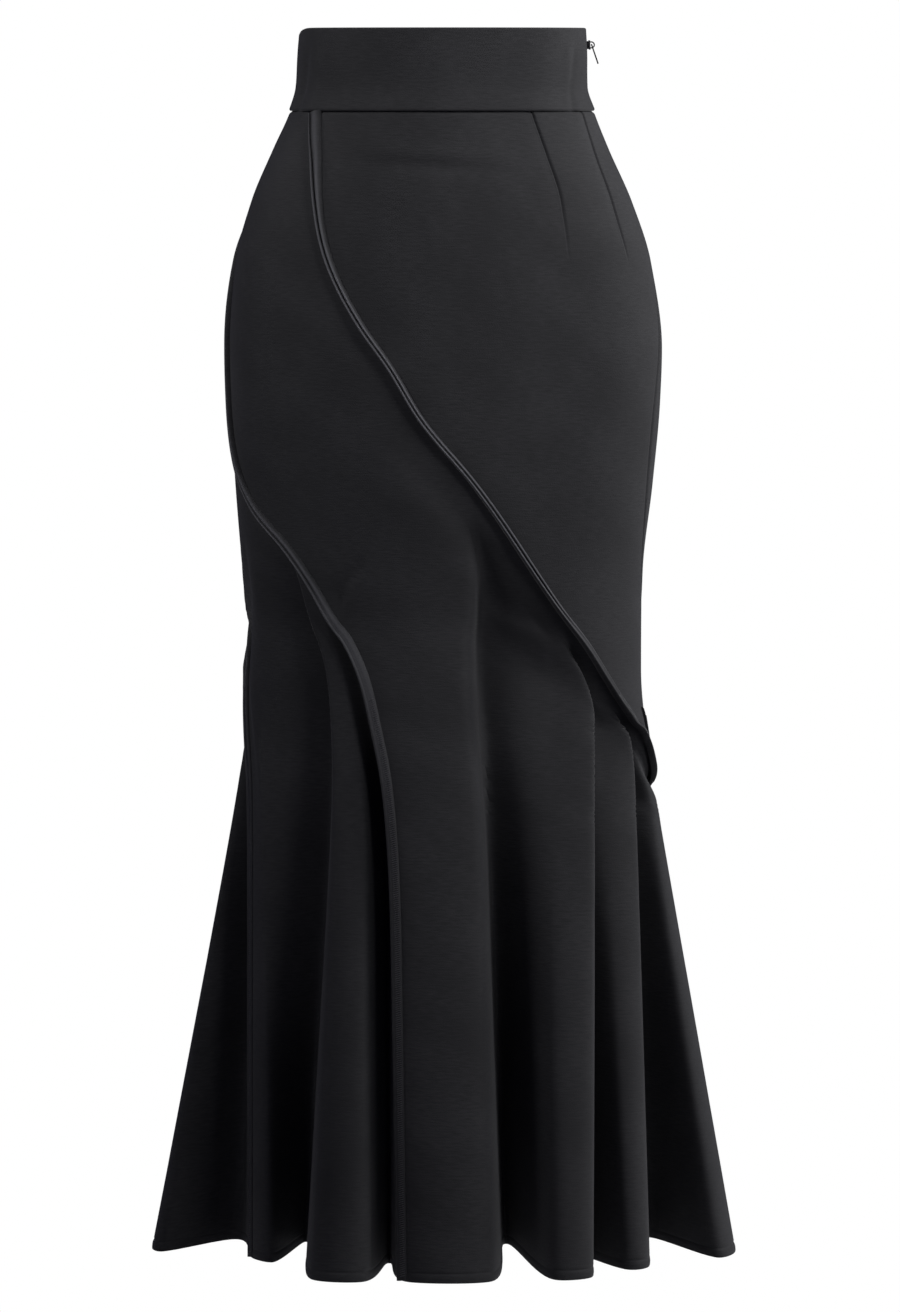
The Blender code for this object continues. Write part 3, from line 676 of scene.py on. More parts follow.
@dataclass(frozen=True)
class MottledFinish:
    """A finish that drifts between two shades, by a noise on the piece's own coordinates."""

    name: str
    shades: tuple[str, str]
    roughness: float
    pattern_mm: float
    detail: float = 1.0
    values: tuple[tuple[str, float], ...] = ()

    def pattern(self, tree: bpy.types.NodeTree, place: Socket) -> Socket:
        """Returns the share of the second shade."""
        scale = 1 / (self.pattern_mm * MM)
        noise = {"Vector": place, "Scale": scale, "Detail": self.detail}
        return add_node(tree, "TexNoise", noise).outputs[0]

    def work(self, tree: bpy.types.NodeTree, shader: bpy.types.Node, share: Socket) -> None:
        """Works the surface further where a finish needs it."""

    def make(self) -> bpy.types.Material:
        """Builds the material."""
        material, tree, shader = new_material(self.name)
        share = self.pattern(tree, add_node(tree, "TexCoord").outputs["Object"])
        ends = {0: share, 1: linear(self.shades[0]), 2: linear(self.shades[1])}
        tree.links.new(add_node(tree, "MixRGB", ends).outputs[0], shader.inputs["Base Color"])
        for name, value in (("Roughness", self.roughness), *self.values):
            shader.inputs[name].default_value = value
        self.work(tree, shader, share)
        return material


@dataclass(frozen=True)
class SewingThread(MottledFinish):
    """Spun polyester thread: a twisted yarn with a faint gloss, a shade paler than the cloth."""

    name: str = "spun_polyester_thread"
    shades: tuple[str, str] = ("#242427", "#3f3f44")
    roughness: float = 0.5
    pattern_mm: float = 0.8
    values: tuple[tuple[str, float], ...] = (("Sheen Weight", 0.1),)


@dataclass(frozen=True)
class WovenTape(MottledFinish):
    """Polyester zip tape, woven in a fine rib: flat, dark and a little shiny along its ribs."""

    name: str = "woven_zip_tape"
    shades: tuple[str, str] = ("#202022", "#2e2e32")
    roughness: float = 0.7
    pattern_mm: float = 1.2

    def pattern(self, tree: bpy.types.NodeTree, place: Socket) -> Socket:
        """Returns the height of the ribs, which are a wave along the tape."""
        wave = {"Vector": place, "Scale": 0.314 / (self.pattern_mm * MM), "Distortion": 0.6}
        return add_node(tree, "TexWave", wave, bands_direction="Z").outputs[0]

    def work(self, tree: bpy.types.NodeTree, shader: bpy.types.Node, share: Socket) -> None:
        """Raises the ribs by a tenth of a millimetre."""
        relief = add_node(tree, "Bump", {"Height": share, "Distance": 0.1 * MM}).outputs[0]
        tree.links.new(relief, shader.inputs["Normal"])


@dataclass(frozen=True)
class EnamelledZinc(MottledFinish):
    """Die-cast zinc, enamelled black: a smooth satin coat, rubbed a little on its raised places."""

    name: str = "enamelled_die_cast_zinc"
    shades: tuple[str, str] = ("#161618", "#2b2b2e")
    roughness: float = 0.46
    pattern_mm: float = 1.6
    detail: float = 3.0
    values: tuple[tuple[str, float], ...] = (("Coat Weight", 0.15),)

    def work(self, tree: bpy.types.NodeTree, shader: bpy.types.Node, share: Socket) -> None:
        """Dulls the coat where it is rubbed."""
        ends = {"To Min": self.roughness - 0.08, "To Max": self.roughness + 0.12}
        gloss = add_node(tree, "MapRange", {"Value": share, **ends}).outputs[0]
        tree.links.new(gloss, shader.inputs["Roughness"])


@dataclass(frozen=True)
class MattePaint(MottledFinish):
    """White matte studio paint, a little uneven under the roller."""

    name: str = "matte_studio_paint"
    shades: tuple[str, str] = ("#f4f4f4", "#ececec")
    roughness: float = 0.9
    pattern_mm: float = 1000 / 1.5
    detail: float = 2.0
    values: tuple[tuple[str, float], ...] = (("Specular IOR Level", 0.1),)


@dataclass
class Wardrobe:
    """The finishes, each made once."""

    crepe: bpy.types.Material = field(default_factory=ScubaCrepe().make)
    thread: bpy.types.Material = field(default_factory=SewingThread().make)
    tape: bpy.types.Material = field(default_factory=WovenTape().make)
    metal: bpy.types.Material = field(default_factory=EnamelledZinc().make)


def dress(made: bpy.types.Object, material: bpy.types.Material) -> None:
    """Gives a piece of the skirt its material, lets it ride on its body and logs its faces.

    Args:
        made: The piece.
        material: Its finish.
    """
    made.data.materials.append(material)
    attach(made, "skirt")
    log.info("%s: %d faces", made.name, len(made.data.polygons))


# ---- Cloth panels ----


@dataclass(frozen=True)
class Dart:
    """A dart: the pairs of drop and angle that its stitched line follows, and its groove."""

    stops: tuple[tuple[float, float], ...]
    depth: float = 1.5
    width: float = 0.95

    @property
    def tip(self) -> float:
        """The drop where the dart ends."""
        return self.stops[-1][0]

    def angle(self, drop: Array) -> Array:
        """Returns the dart's angle at each drop, which stays the same below its tip."""
        return along(self.stops, np.minimum(drop, self.tip))[0]

    def inwards(self, away: Array, drop: Array) -> Array:
        """Returns the groove's depth: a bell on a wider, shallower one, fading out at the tip."""
        fade = np.clip((self.tip - drop) / 45, 0, 1) ** 0.6
        return (self.depth * bump(away, self.width) + 0.5 * bump(away + 2.5, 4.0)) * fade


# The smallest share of its flat rectangle that a sheet may declare.
LEAST_AREA = 0.301

DARTS = (
    Dart(((62, 36.2), (93, 38.2), (120.8, 39.1), (142.5, 38.3), (169.5, 37.1))),
    Dart(((62, 67.5), (81, 66.2), (101, 64.6), (126, 63.6), (147, 62.8), (171.8, 62.4))),
)


@dataclass
class ClothPanel:
    """A cut panel of the skirt, from the waist seam to its hem or point."""

    node: str
    columns: int
    rows: int
    left: Seam
    right: Seam
    form: SkirtForm
    cloth: Wardrobe
    wall: float = 1.8
    hem_height: float = 6.2
    tuck: float = 1.9
    edge_mm: tuple[float, ...] = (0.7, 1.5, 2.6, 4.0, 6.0, 9.0)
    edge_share: float = 0.45
    top_rows: tuple[float, ...] = (-3.0, -1.4, 0, 0.7, 1.4, 2.2, 3.2, 4.6)
    hem_rows: tuple[float, ...] = (9.5, 8.4, 7.6, 7.0, 6.5, 6.0, 5.4, 4.6, 3.6, 2.4, 1.2, 0)

    @property
    def foot(self) -> float:
        """The drop of the panel's foot."""
        return self.form.hem_drop

    def drops(self) -> Array:
        """Returns the rows' drops, from behind the band, closer at the waist seam and the hem."""
        top = self.form.band_height + np.array(self.top_rows)
        hem = self.foot - np.array(self.hem_rows)
        return np.concatenate([top, np.linspace(top[-1], hem[0], self.rows)[1:-1], hem])

    def edges(self, drops: Array) -> tuple[Array, Array]:
        """Returns the angles of the panel's two edges at each drop."""
        return self.form.seam_angle(self.left, drops), self.form.seam_angle(self.right, drops)

    def across(self, drops: Array, start: Array, end: Array) -> Array:
        """Spreads columns over the panel: at set distances beside its edges, and evenly by the hem.

        Args:
            drops: The rows' drops.
            start: The first edge's angles.
            end: The last edge's angles.

        Returns:
            The angles, a row for each drop.
        """
        steps = np.array([0.0, *self.edge_mm]) + self.form.seam_gap / 2
        room = (end - start)[:, None] * self.edge_share * np.arange(1, len(steps) + 1) / len(steps)
        beside = []
        for edge in (start, end):
            across, down = self.form.across_and_down(edge, drops)
            run = unit(down + across * np.gradient(edge, drops)[:, None])
            clear = across - run * (across * run).sum(-1, keepdims=True)
            beside.append(np.minimum(steps / np.linalg.norm(clear, axis=-1)[:, None], room))
        first, last = start[:, None] + beside[0], end[:, None] - beside[1]
        share = self.shares(float(first[-1, -1]), float(last[-1, -1]))
        way = last[:, -1:] - first[:, -1:]
        middle = first[:, -1:] + way * self.spread(share, drops, first, last)
        return np.concatenate([first, middle, last[:, ::-1]], axis=1)

    def shares(self, start: float, end: float, turn_worth: float = 9.0) -> Array:
        """Spaces the middle columns along the hem, closer where it turns.

        Args:
            start: The angle where they start.
            end: The angle where they end.
            turn_worth: The millimetres of straight hem that count as much as a turn of 10 degrees.

        Returns:
            Their shares of the way, without the two ends.
        """
        angle = np.linspace(start, end, 2880)
        hem = self.form.place(angle, np.full_like(angle, self.form.hem_drop))[:, :2]
        step = np.diff(hem, axis=0)
        heading = np.unwrap(np.arctan2(step[:, 1], step[:, 0]))
        turning = np.degrees(np.abs(np.diff(heading, prepend=heading[0])))
        run = np.concatenate([[0.0], np.cumsum(np.hypot(*step.T) + turning / 10 * turn_worth)])
        even = np.interp(np.linspace(0, run[-1], self.columns + 2), run, angle)
        return ((even - start) / (end - start))[1:-1]

    def spread(self, share: Array, drops: Array, first: Array, last: Array) -> Array:
        """Returns each middle column's share of the way at each row, here the same in all."""
        return np.broadcast_to(share, (len(drops), len(share)))

    def tucked(self, drop: Array) -> Array:
        """Returns how far the panel's top edge is drawn in, to lie behind the band."""
        return self.tuck * smooth_step((self.form.band_height + 2.6 - drop) / 3.2)

    def inwards(self, angle: Array, drop: Array) -> Array:
        """Returns how far the panel is drawn in: at its plainest, by the tuck behind the band."""
        return self.tucked(drop)

    def hem_groove(self, drop: Array) -> Array:
        """Returns the depth of the hem's stitched line, with the turned hem swelling below it."""
        above_hem = self.form.hem_drop - drop
        return 0.45 * bump(above_hem - self.hem_height, 0.7) - 0.35 * bump(above_hem - 2.9, 2.2)

    def build(self) -> None:
        """Builds the panel as a closed sheet in place of its node."""
        drops = self.drops()
        angle = self.across(drops, *self.edges(drops))
        drop = np.broadcast_to(drops[:, None], angle.shape)
        outer = self.form.place(angle, drop, self.inwards(angle, drop))
        outer = outer - facing(outer) * self.hem_groove(drop)[..., None]
        made = sheet_piece(self.node, *self.close_foot(outer))
        dress(made, self.cloth.crepe)
        self.declare(made, outer)

    def close_foot(self, outer: Array) -> tuple[Array, Array]:
        """Returns the outer and inner grids with the hem's rounded edge."""
        return turned_edge(outer, self.wall)

    def declare(self, made: bpy.types.Object, outer: Array) -> None:
        """Args:
            made: The panel.
            outer: Its outer face's grid.
        """
        across = np.linalg.norm(np.diff(outer, axis=1), axis=-1)
        down = np.linalg.norm(np.diff(outer, axis=0), axis=-1)
        width, length = across.sum(axis=1).max() * MM, down.sum(axis=0).max() * MM
        sides = np.cross(outer[1:, 1:] - outer[:-1, :-1], outer[1:, :-1] - outer[:-1, 1:])
        area = np.linalg.norm(sides, axis=-1).sum() / 2 * MM**2
        area = float(np.clip(area, LEAST_AREA * width * length, width * length))
        log.info("%s: cut %.3f x %.3f m, %.3f m2", made.name, width, length, area)


@dataclass
class FrontWrapPanel(ClothPanel):
    """The panel from the waist's front to the left side seam, which ends in a point at the knee.

    The dart shares are the columns' shares at the sides of its two darts. The crease is a faint
    pressed one across the stomach.
    """

    dart_shares: tuple[float, ...] = (0, 0.36, 0.5, 0.64, 0.78, 1.0)
    dart_room: float = 3.0
    crease_drop: float = 103.0
    crease_slant: float = 0.12
    crease_depth: float = 0.9

    @property
    def foot(self) -> float:
        """The drop of the panel's point."""
        return self.form.tip_drop

    def spread(self, share: Array, drops: Array, first: Array, last: Array) -> Array:
        """Bends the columns so that close ones follow each dart down to its tip.

        Between set shares of the columns, the places run evenly from one dart's side to the next.

        Args:
            share: The columns' shares.
            drops: The rows' drops.
            first: The first edge's columns.
            last: The last edge's columns.

        Returns:
            Each column's share of the way at each row.
        """
        start, way = first[:, -1:], last[:, -1:] - first[:, -1:]
        half = self.dart_room / 2 / way
        knots = [np.zeros_like(way)]
        for dart in DARTS:
            middle = (dart.angle(drops)[:, None] - start) / way
            at_tip = np.interp(dart.tip, drops, middle[:, 0])
            middle = np.where(drops[:, None] > dart.tip, at_tip, middle)
            knots += [middle - half, middle + half]
        knots = np.concatenate([*knots, np.ones_like(way)], axis=1)
        set_shares = np.array(self.dart_shares)
        even = np.linspace(0, 1, len(share) + 2)[1:-1]
        span = np.clip(np.searchsorted(set_shares, even, side="right") - 1, 0, len(set_shares) - 2)
        t = (even - set_shares[span]) / (set_shares[span + 1] - set_shares[span])
        return knots[:, span] * (1 - t) + knots[:, span + 1] * t

    def inwards(self, angle: Array, drop: Array) -> Array:
        """Adds the darts' grooves and a faint pressed crease across the stomach to the relief."""
        relief = self.tucked(drop)
        per_degree = self.form.degree_mm(50, 120)
        for dart in DARTS:
            away = (angle - dart.angle(drop)) * per_degree
            relief = relief + dart.inwards(away, drop)
        below = drop - self.crease_slant * angle - self.crease_drop
        crease = self.crease_depth * bump(below, 5.0) - 0.7 * bump(below + 9, 6.0)
        relief = relief + crease * bump(angle + 2, 22)
        return relief + side_seam_dip(self.form, angle, drop)

    def close_foot(self, outer: Array) -> tuple[Array, Array]:
        """Returns the outer and inner grids: the point has no hem."""
        return outer, outer - facing(outer) * self.wall


def side_seam_dip(form: SkirtForm, angle: Array, drop: Array) -> Array:
    """Returns the cloth's dip into the pressed side seam, 1.6 mm deep, above the wrap's point."""
    away = (angle - form.seam_angle(Seam.SIDE, drop)) * form.degree_mm(85, 250)
    return 1.6 * bump(away, 1.6) * smooth_step((form.tip_drop - drop) / 30)


class BackPanel(ClothPanel):
    """The back, from the left side seam round to the seam of the wearer's right side."""

    def edges(self, drops: Array) -> tuple[Array, Array]:
        """Returns the side seam, and below its end the wrap seam, and the seam a turn on."""
        start = np.maximum(*(self.form.seam_angle(seam, drops) for seam in (Seam.SIDE, Seam.WRAP)))
        return start, self.form.seam_angle(Seam.LEFT, drops) + FULL_TURN

    def inwards(self, angle: Array, drop: Array) -> Array:
        """Adds the dip into the side seam to the relief."""
        return super().inwards(angle, drop) + side_seam_dip(self.form, angle, drop)


# ---- Waistband ----


class Crease(NamedTuple):
    """A shallow crease in the band: its angle, how far it slants, its depth and its width.

    The angles are in degrees, and a negative depth stands out.
    """

    angle: float
    slant: float
    depth: float
    width: float


# How far a degree is round the waistband.
BAND_DEGREE_MM = 1.85

BAND_CREASES = (
    Crease(-66, 5, 1.3, 3.2), Crease(-59, 0, -0.8, 4.5),
    Crease(68, 9, 1.3, 3.0), Crease(61, 0, -0.8, 4.5),
)


@dataclass
class Waistband:
    """The tall waistband, of two layers, cut in a front and a back that meet at the zip.

    The two overlap by a hair at the right side. At the left they leave the zip's slit.
    """

    form: SkirtForm
    cloth: Wardrobe
    proud: float = 1.2
    wall: float = 2.6
    columns: int = 190
    rows: int = 34
    corner_dip: float = 4.6
    overlap: float = 0.02
    half_slit: float = 0.53
    near_edge: tuple[float, ...] = (0, 0.5, 1.2, 2.2, 3.6)
    near_end: tuple[float, ...] = (0, 0.3, 0.8, 1.6)

    def drops(self) -> Array:
        """Returns the rows' drops, closer at the two edges."""
        near, height = np.array(self.near_edge), self.form.band_height
        middle = np.linspace(near[-1], height - near[-1], self.rows)[1:-1]
        return np.concatenate([near, middle, height - near[::-1]])

    def soft_creases(self, angle: Array, drop: Array) -> Array:
        """Returns the band's shallow creases near its sides and its middle's slight hollow."""
        share = drop / self.form.band_height
        creases = sum(
            c.depth * bump(turned(angle - c.angle + c.slant * share), c.width) for c in BAND_CREASES
        )
        return creases * smooth_step(share * 2) + 0.5 * bump(share - 0.55, 0.3)

    def build_half(self, node: str, start: float, end: float) -> None:
        """Builds one half as a closed sheet.

        The outer face is the skirt's line moved out, rounded over at the top edge, the bottom edge
        and both ends by a quarter circle as deep as half the wall.

        Args:
            node: The CAD node that it stands for.
            start: The angle of its first end.
            end: The angle of its last end.
        """
        ends, height = np.array(self.near_end), self.form.band_height
        middle = np.linspace(start + 3, end - 3, self.columns)
        columns = np.concatenate([start + ends, middle, end - ends[::-1]])
        angle, drop = np.meshgrid(columns, self.drops())
        base = self.form.place(angle, drop, self.soft_creases(angle, drop), dips=0)
        base[..., 2] -= self.corner_dip * bump(turned(angle + 90), 11) * (1 - drop / height) ** 2
        out = facing(base)
        border = np.minimum(drop, height - drop)
        side_mm = np.minimum(angle - start, end - angle) * BAND_DEGREE_MM
        inset = 1 - np.clip(np.minimum(border, side_mm) / (self.wall / 2), 0, 1)
        rounded = self.wall / 2 * (1 - np.sqrt(np.clip(1 - inset**2, 0, 1)))[..., None]
        outer = base + out * (self.proud - rounded)
        inner = base + out * (self.proud - self.wall + rounded)
        made = sheet_piece(node, outer, inner)
        dress(made, self.cloth.crepe)

    def build(self) -> None:
        """Builds the front and the back."""
        self.build_half("waistband_front", -90 - self.overlap, 90 - self.half_slit)
        self.build_half("waistband_back", 90 + self.half_slit, 270 + self.overlap)


# ---- Raised seams ----


class Roll(NamedTuple):
    """The size of a raised seam at a drop.

    Places across it run from -1, at the panel above, to 1, at the panel below. The groove is how
    deep the line between its two rolls is. Low is the second roll's share of the height, tilt how
    much the side by the panel below stands up, and the last how strongly a painted highlight
    pales the crests.
    """

    drop: float
    width: float
    height: float
    groove: float
    groove_at: float
    offset: float
    low: float = 1.0
    tilt: float = 0.0
    rubbed: float = 0.6


# The rows of each seam's rolls, in the order of a Roll's fields.
ROLLS = {
    Seam.WRAP: (
        (62, 12.6, 3, 1.8, 0.72, 0.4, 0.8, 0, 0.30), (80, 12, 3.2, 2, 0.68, 0.4, 0.8, 0, 0.32),
        (110, 9.4, 3.8, 2.6, 0.40, 0.4, 1, 0, 0.5), (150, 7, 4.4, 3.2, 0.08, 0.2, 1, 0, 0.7),
        (200, 5.9, 4.6, 3.4, 0, 0, 1, 0, 0.9), (300, 5, 4.6, 3.4, 0, 0, 1, 0, 1),
        (370, 5.2, 5.2, 3.8, 0, 0.2, 0.9, 0, 0.9), (405, 5.4, 5.2, 3.4, 0, 0.3, 0.9, 0.2, 0.65),
        (432, 5.6, 5, 1.2, 0, 0.2, 1, 0.4, 0.45), (470, 6.6, 4.8, 0.2, 0, -0.2, 1, 0.5, 0.06),
        (545, 7.4, 5, 0.2, 0, -0.4, 1, 0.5, 0), (572, 8, 4.4, 0.2, 0, 0.6, 1, 0.5, 0),
        (596, 8.4, 3.4, 0.2, 0, 2, 1, 0.4, 0), (640, 8.2, 2.4, 0.2, 0, 2.6, 1, 0.3, 0),
        (917, 8.4, 1.8, 0.1, 0, 3.6, 1, 0.3, 0),
    ),
    Seam.FRONT: (
        (62, 9, 2.6, 1, 0.5, 0.6), (160, 7.4, 4.4, 1.8, 0.1, 0),
        (330, 6.4, 4.4, 2.2, 0.2, 0, 0.9, 0.1, 0.6), (400, 7.2, 3.6, 1.2, 0.3, 0.6, 1, 0.3, 0.5),
        (454, 8.4, 3.4, 0.3, 0.3, 2, 1, 0.4, 0.35), (540, 8.6, 3.2, 0.1, 0, 3.6, 1, 0.4, 0.15),
        (600, 8.6, 3, 0.1, 0, 3.8, 1, 0.4, 0.04), (917, 8.6, 3, 0.1, 0, 3.8, 1, 0.4, 0.02),
    ),
    Seam.LEFT: (
        (62, 9, 2.6, 1, 0.5, 0.6, 1, 0, 0.5), (160, 7.4, 4.4, 1.8, 0.1, 0, 1, 0, 0.5),
        (400, 7, 4.8, 1.6, 0, 0, 1, 0, 0.5), (520, 7.8, 3.4, 0.5, -0.2, 1.6, 1, 0.2, 0.3),
        (600, 8.4, 2.4, 0.1, 0, 3, 1, 0.4, 0.1), (917, 8.4, 2.2, 0.1, 0, 3.4, 1, 0.4, 0.05),
    ),
}


@dataclass
class RaisedSeam:
    """The folded seam allowances along a seam: two rolls with a groove between them."""

    seam: Seam
    form: SkirtForm
    cloth: Wardrobe
    stations: int = 400
    steps: int = 17
    sunk: float = 0.9
    above_hem: float = 0.4
    arch_power: float = 2.4
    whole_power: float = 2.6
    stitched_from: float = 496.0
    stitch_pitch: float = 1.6
    stitch_length: float = 4.0
    stitch_height: float = 0.5
    stitch_slant: float = 0.9
    stitch_inset: float = 0.9
    stitch_sunk: float = 0.2
    thread_radius: float = 0.27

    def __post_init__(self) -> None:
        """Works the seam's path out, with its directions along, aside and out of the cloth."""
        form = self.form
        drops = np.linspace(form.band_height + 0.6, form.hem_drop - self.above_hem, self.stations)
        self.drops = drops
        self.angle = form.seam_angle(self.seam, drops)
        across, down = form.across_and_down(self.angle, drops)
        slope = (form.seam_angle(self.seam, drops + 1) - form.seam_angle(self.seam, drops - 1)) / 2
        self.run = unit(down + across * slope[:, None])
        self.per_degree = np.linalg.norm(across, axis=-1)
        self.share_down = (self.run * unit(down)).sum(-1)
        self.share_across = np.sqrt(np.clip(1 - self.share_down**2, 0, None)) * np.sign(slope)
        self.root = form.place(self.angle, drops)
        aside = self.root - self.beside(-4.0)
        self.aside = unit(aside - self.run * (aside * self.run).sum(-1, keepdims=True))
        self.out = unit(np.cross(self.run, -self.aside))
        self.size = self.sizes(drops)
        step = np.diff(self.root, axis=0, prepend=self.root[:1])
        self.along = np.linalg.norm(step, axis=-1).cumsum()

    def beside(self, place: Array | float) -> Array:
        """Returns the cloth at a place, millimetres from the seam, towards the panel below it."""
        angle = self.angle - place * self.share_down / self.per_degree
        drop = self.drops + place * self.share_across
        return self.form.place(angle, np.clip(drop, self.form.band_height, self.form.hem_drop))

    def above_plane(self, place: Array) -> Array:
        """Returns how far the panels rise above the seam's own plane at a place beside it."""
        return np.clip(((self.beside(place) - self.root) * self.out).sum(-1), 0, 3.0)

    def sizes(self, drops: Array) -> dict[str, Array]:
        """Returns the roll's sizes at each drop, by name, as columns."""
        columns = along([Roll(*row) for row in ROLLS[self.seam]], drops)
        return {name: column[:, None] for name, column in zip(Roll._fields[1:], columns)}

    def rise(self, s: Array, size: dict[str, Array]) -> tuple[Array, Array]:
        """Works out the roll's height at places across it.

        Each of the two rolls is an arch over its own width, (1 - |u|^p)^(1/p), where p is its
        power. They meet in the groove, which the floor between them fills up.

        Args:
            s: Places from -1 to 1, a row for each station.
            size: The roll's sizes.

        Returns:
            The heights, and how close each place is to a crest.
        """
        first = s < size["groove_at"]
        middle = (size["groove_at"] + np.where(first, -1, 1)) / 2
        half = np.where(first, 1 + size["groove_at"], 1 - size["groove_at"]) / 2
        u = np.clip((s - middle) / half, -1, 1)
        arch = (1 - np.abs(u) ** self.arch_power) ** (1 / self.arch_power)
        whole = (1 - np.abs(s) ** self.whole_power) ** (1 / self.whole_power)
        floor = np.clip(size["height"] * size["low"] - size["groove"], 0, None) * whole
        up = np.maximum(size["height"] * np.where(first, 1, size["low"]) * arch, floor)
        up = up * (1 + size["tilt"] * s) / (1 + size["tilt"])
        grooved = np.clip(size["groove"], 0, 1)
        return up, grooved * bump(u, 0.5) * arch + (1 - grooved) * whole

    def profile(self) -> tuple[Array, Array, Array]:
        """Works out the outline of the roll at each station; its foot is sunk into the cloth.

        Returns:
            The places across, the heights and the share of painted highlight on each, a row for
            each station.
        """
        size = self.size
        t = -np.cos(np.linspace(0, math.pi, self.steps))[None]
        groove = size["groove_at"]
        first = (groove + 1) / 2 * t + (groove - 1) / 2
        second = (1 - groove) / 2 * t + (groove + 1) / 2
        s = np.concatenate([first, second[:, 1:]], 1)
        up, crest = self.rise(s, size)
        place = s * size["width"] / 2 + size["offset"]
        foot, plain = np.full((self.stations, 1), -self.sunk), np.zeros((self.stations, 1))
        faded = np.where(s < groove, 1, smooth_step((size["low"] - 0.3) / 0.6))
        # Painted highlight: each crest is paled by the row's share, less so on a low second roll.
        rubbed = np.concatenate([plain, crest * size["rubbed"] * faded, plain], 1)
        place = np.concatenate([place[:, :1] * 0.9, place, place[:, -1:] * 0.9], 1)
        return place, np.concatenate([foot, up, foot], 1), rubbed

    def build(self) -> None:
        """Builds the roll, with closed ends, and its stitches."""
        place, up, rubbed = self.profile()
        lift = self.above_plane(self.size["offset"][:, 0])[:, None]
        raised = self.out[:, None] * (up + lift)[..., None]
        rings = self.root[:, None] + self.aside[:, None] * place[..., None] + raised
        count, sides = rings.shape[:2]
        corner = np.arange(count * sides).reshape(count, sides)
        around = np.concatenate([corner, corner[:, :1]], axis=1)
        faces = [quads(around), corner[:1], corner[-1:, ::-1]]
        uv = np.stack([place, np.broadcast_to(-self.along[:, None], place.shape)], -1)
        name = "raised_seam_" + self.seam.value
        made = piece("cloth_" + name, rings.reshape(-1, 3), faces, uv.reshape(-1, 2) * MM)
        face_outwards(made)
        # Stores the crests' painted highlight on the roll's points, for the crepe's material.
        pale = made.data.attributes.new("rubbed", "FLOAT", "POINT")
        pale.data.foreach_set("value", rubbed.ravel())
        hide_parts(name)
        dress(made, self.cloth.crepe)
        self.build_stitches(lift)

    def build_stitches(self, lift: Array) -> None:
        """Lays a row of short stitches over the roll's flat part, each across it at a slight slant.

        A stitch is a six-sided thread whose two ends dip into the cloth.

        Args:
            lift: The panels' rise at each station, as a column.
        """
        start = np.interp(self.stitched_from, self.drops, self.along)
        at = np.arange(start, self.along[-1] - 3, self.stitch_pitch)
        station = np.interp(at, self.along, np.arange(self.stations))
        pick = np.arange(self.stations)

        def there(values: Array) -> Array:
            """Returns values of the stations at the stitches."""
            columns = values.reshape(self.stations, -1)
            picked = np.stack([np.interp(station, pick, column) for column in columns.T], -1)
            return picked.reshape(len(at), *values.shape[1:])

        root, aside, out, run = (there(v) for v in (self.root, self.aside, self.out, self.run))
        local = {name: there(value) for name, value in self.size.items()}
        t = np.linspace(0, 1, 5)
        from_edge = self.stitch_inset + t * self.stitch_length - local["width"] / 2
        up, _ = self.rise(from_edge / (local["width"] / 2), local)
        height = up + there(lift) + self.stitch_height * np.sin(math.pi * t) - self.stitch_sunk
        middle = root[:, None] + aside[:, None] * (from_edge + local["offset"])[..., None]
        middle = middle + out[:, None] * height[..., None]
        middle = middle + run[:, None] * ((t - 0.5) * self.stitch_slant)[:, None]
        thread("stitches_" + self.seam.value, middle, out[:, None], self.thread_radius, self.cloth)


def face_outwards(made: bpy.types.Object) -> None:
    """Turns a closed mesh's faces outwards where its volume is negative.

    The volume is a sixth of the sum of its triangles' triple products.

    Args:
        made: The object.
    """
    mesh = made.data
    mesh.calc_loop_triangles()
    corner = np.empty(len(mesh.loop_triangles) * 3, int)
    mesh.loop_triangles.foreach_get("vertices", corner)
    place = np.empty(len(mesh.vertices) * 3)
    mesh.vertices.foreach_get("co", place)
    a, b, c = np.moveaxis(place.reshape(-1, 3)[corner.reshape(-1, 3)], 1, 0)
    if (a * np.cross(b, c)).sum() < 0:
        mesh.flip_normals()


def thread(
    name: str, middle: Array, out: Array, radius: float, cloth: Wardrobe, sides: int = 6
) -> None:
    """Carries a round thread along many short paths, as one piece with closed ends.

    Args:
        name: The piece's name.
        middle: The paths, by thread, step and coordinate.
        out: A direction square to each path.
        radius: The thread's radius.
        cloth: The finishes.
        sides: How many sides the thread has.
    """
    run = unit(np.gradient(middle, axis=1))
    up = unit(out - run * (out * run).sum(-1, keepdims=True))
    aside = np.cross(run, up)
    turn = np.linspace(0, 2 * math.pi, sides, endpoint=False)
    ring = up[:, :, None] * np.cos(turn)[:, None] + aside[:, :, None] * np.sin(turn)[:, None]
    points = middle[:, :, None] + radius * ring
    count, steps = middle.shape[:2]
    corner = np.arange(count * steps * sides).reshape(count, steps, sides)
    around = np.concatenate([corner, corner[..., :1]], axis=-1)
    faces = [quads(around)[:, ::-1], corner[:, 0], corner[:, -1, ::-1]]
    made = piece(name, points.reshape(-1, 3), faces)
    face_outwards(made)
    dress(made, cloth.thread)


# ---- Zip ----


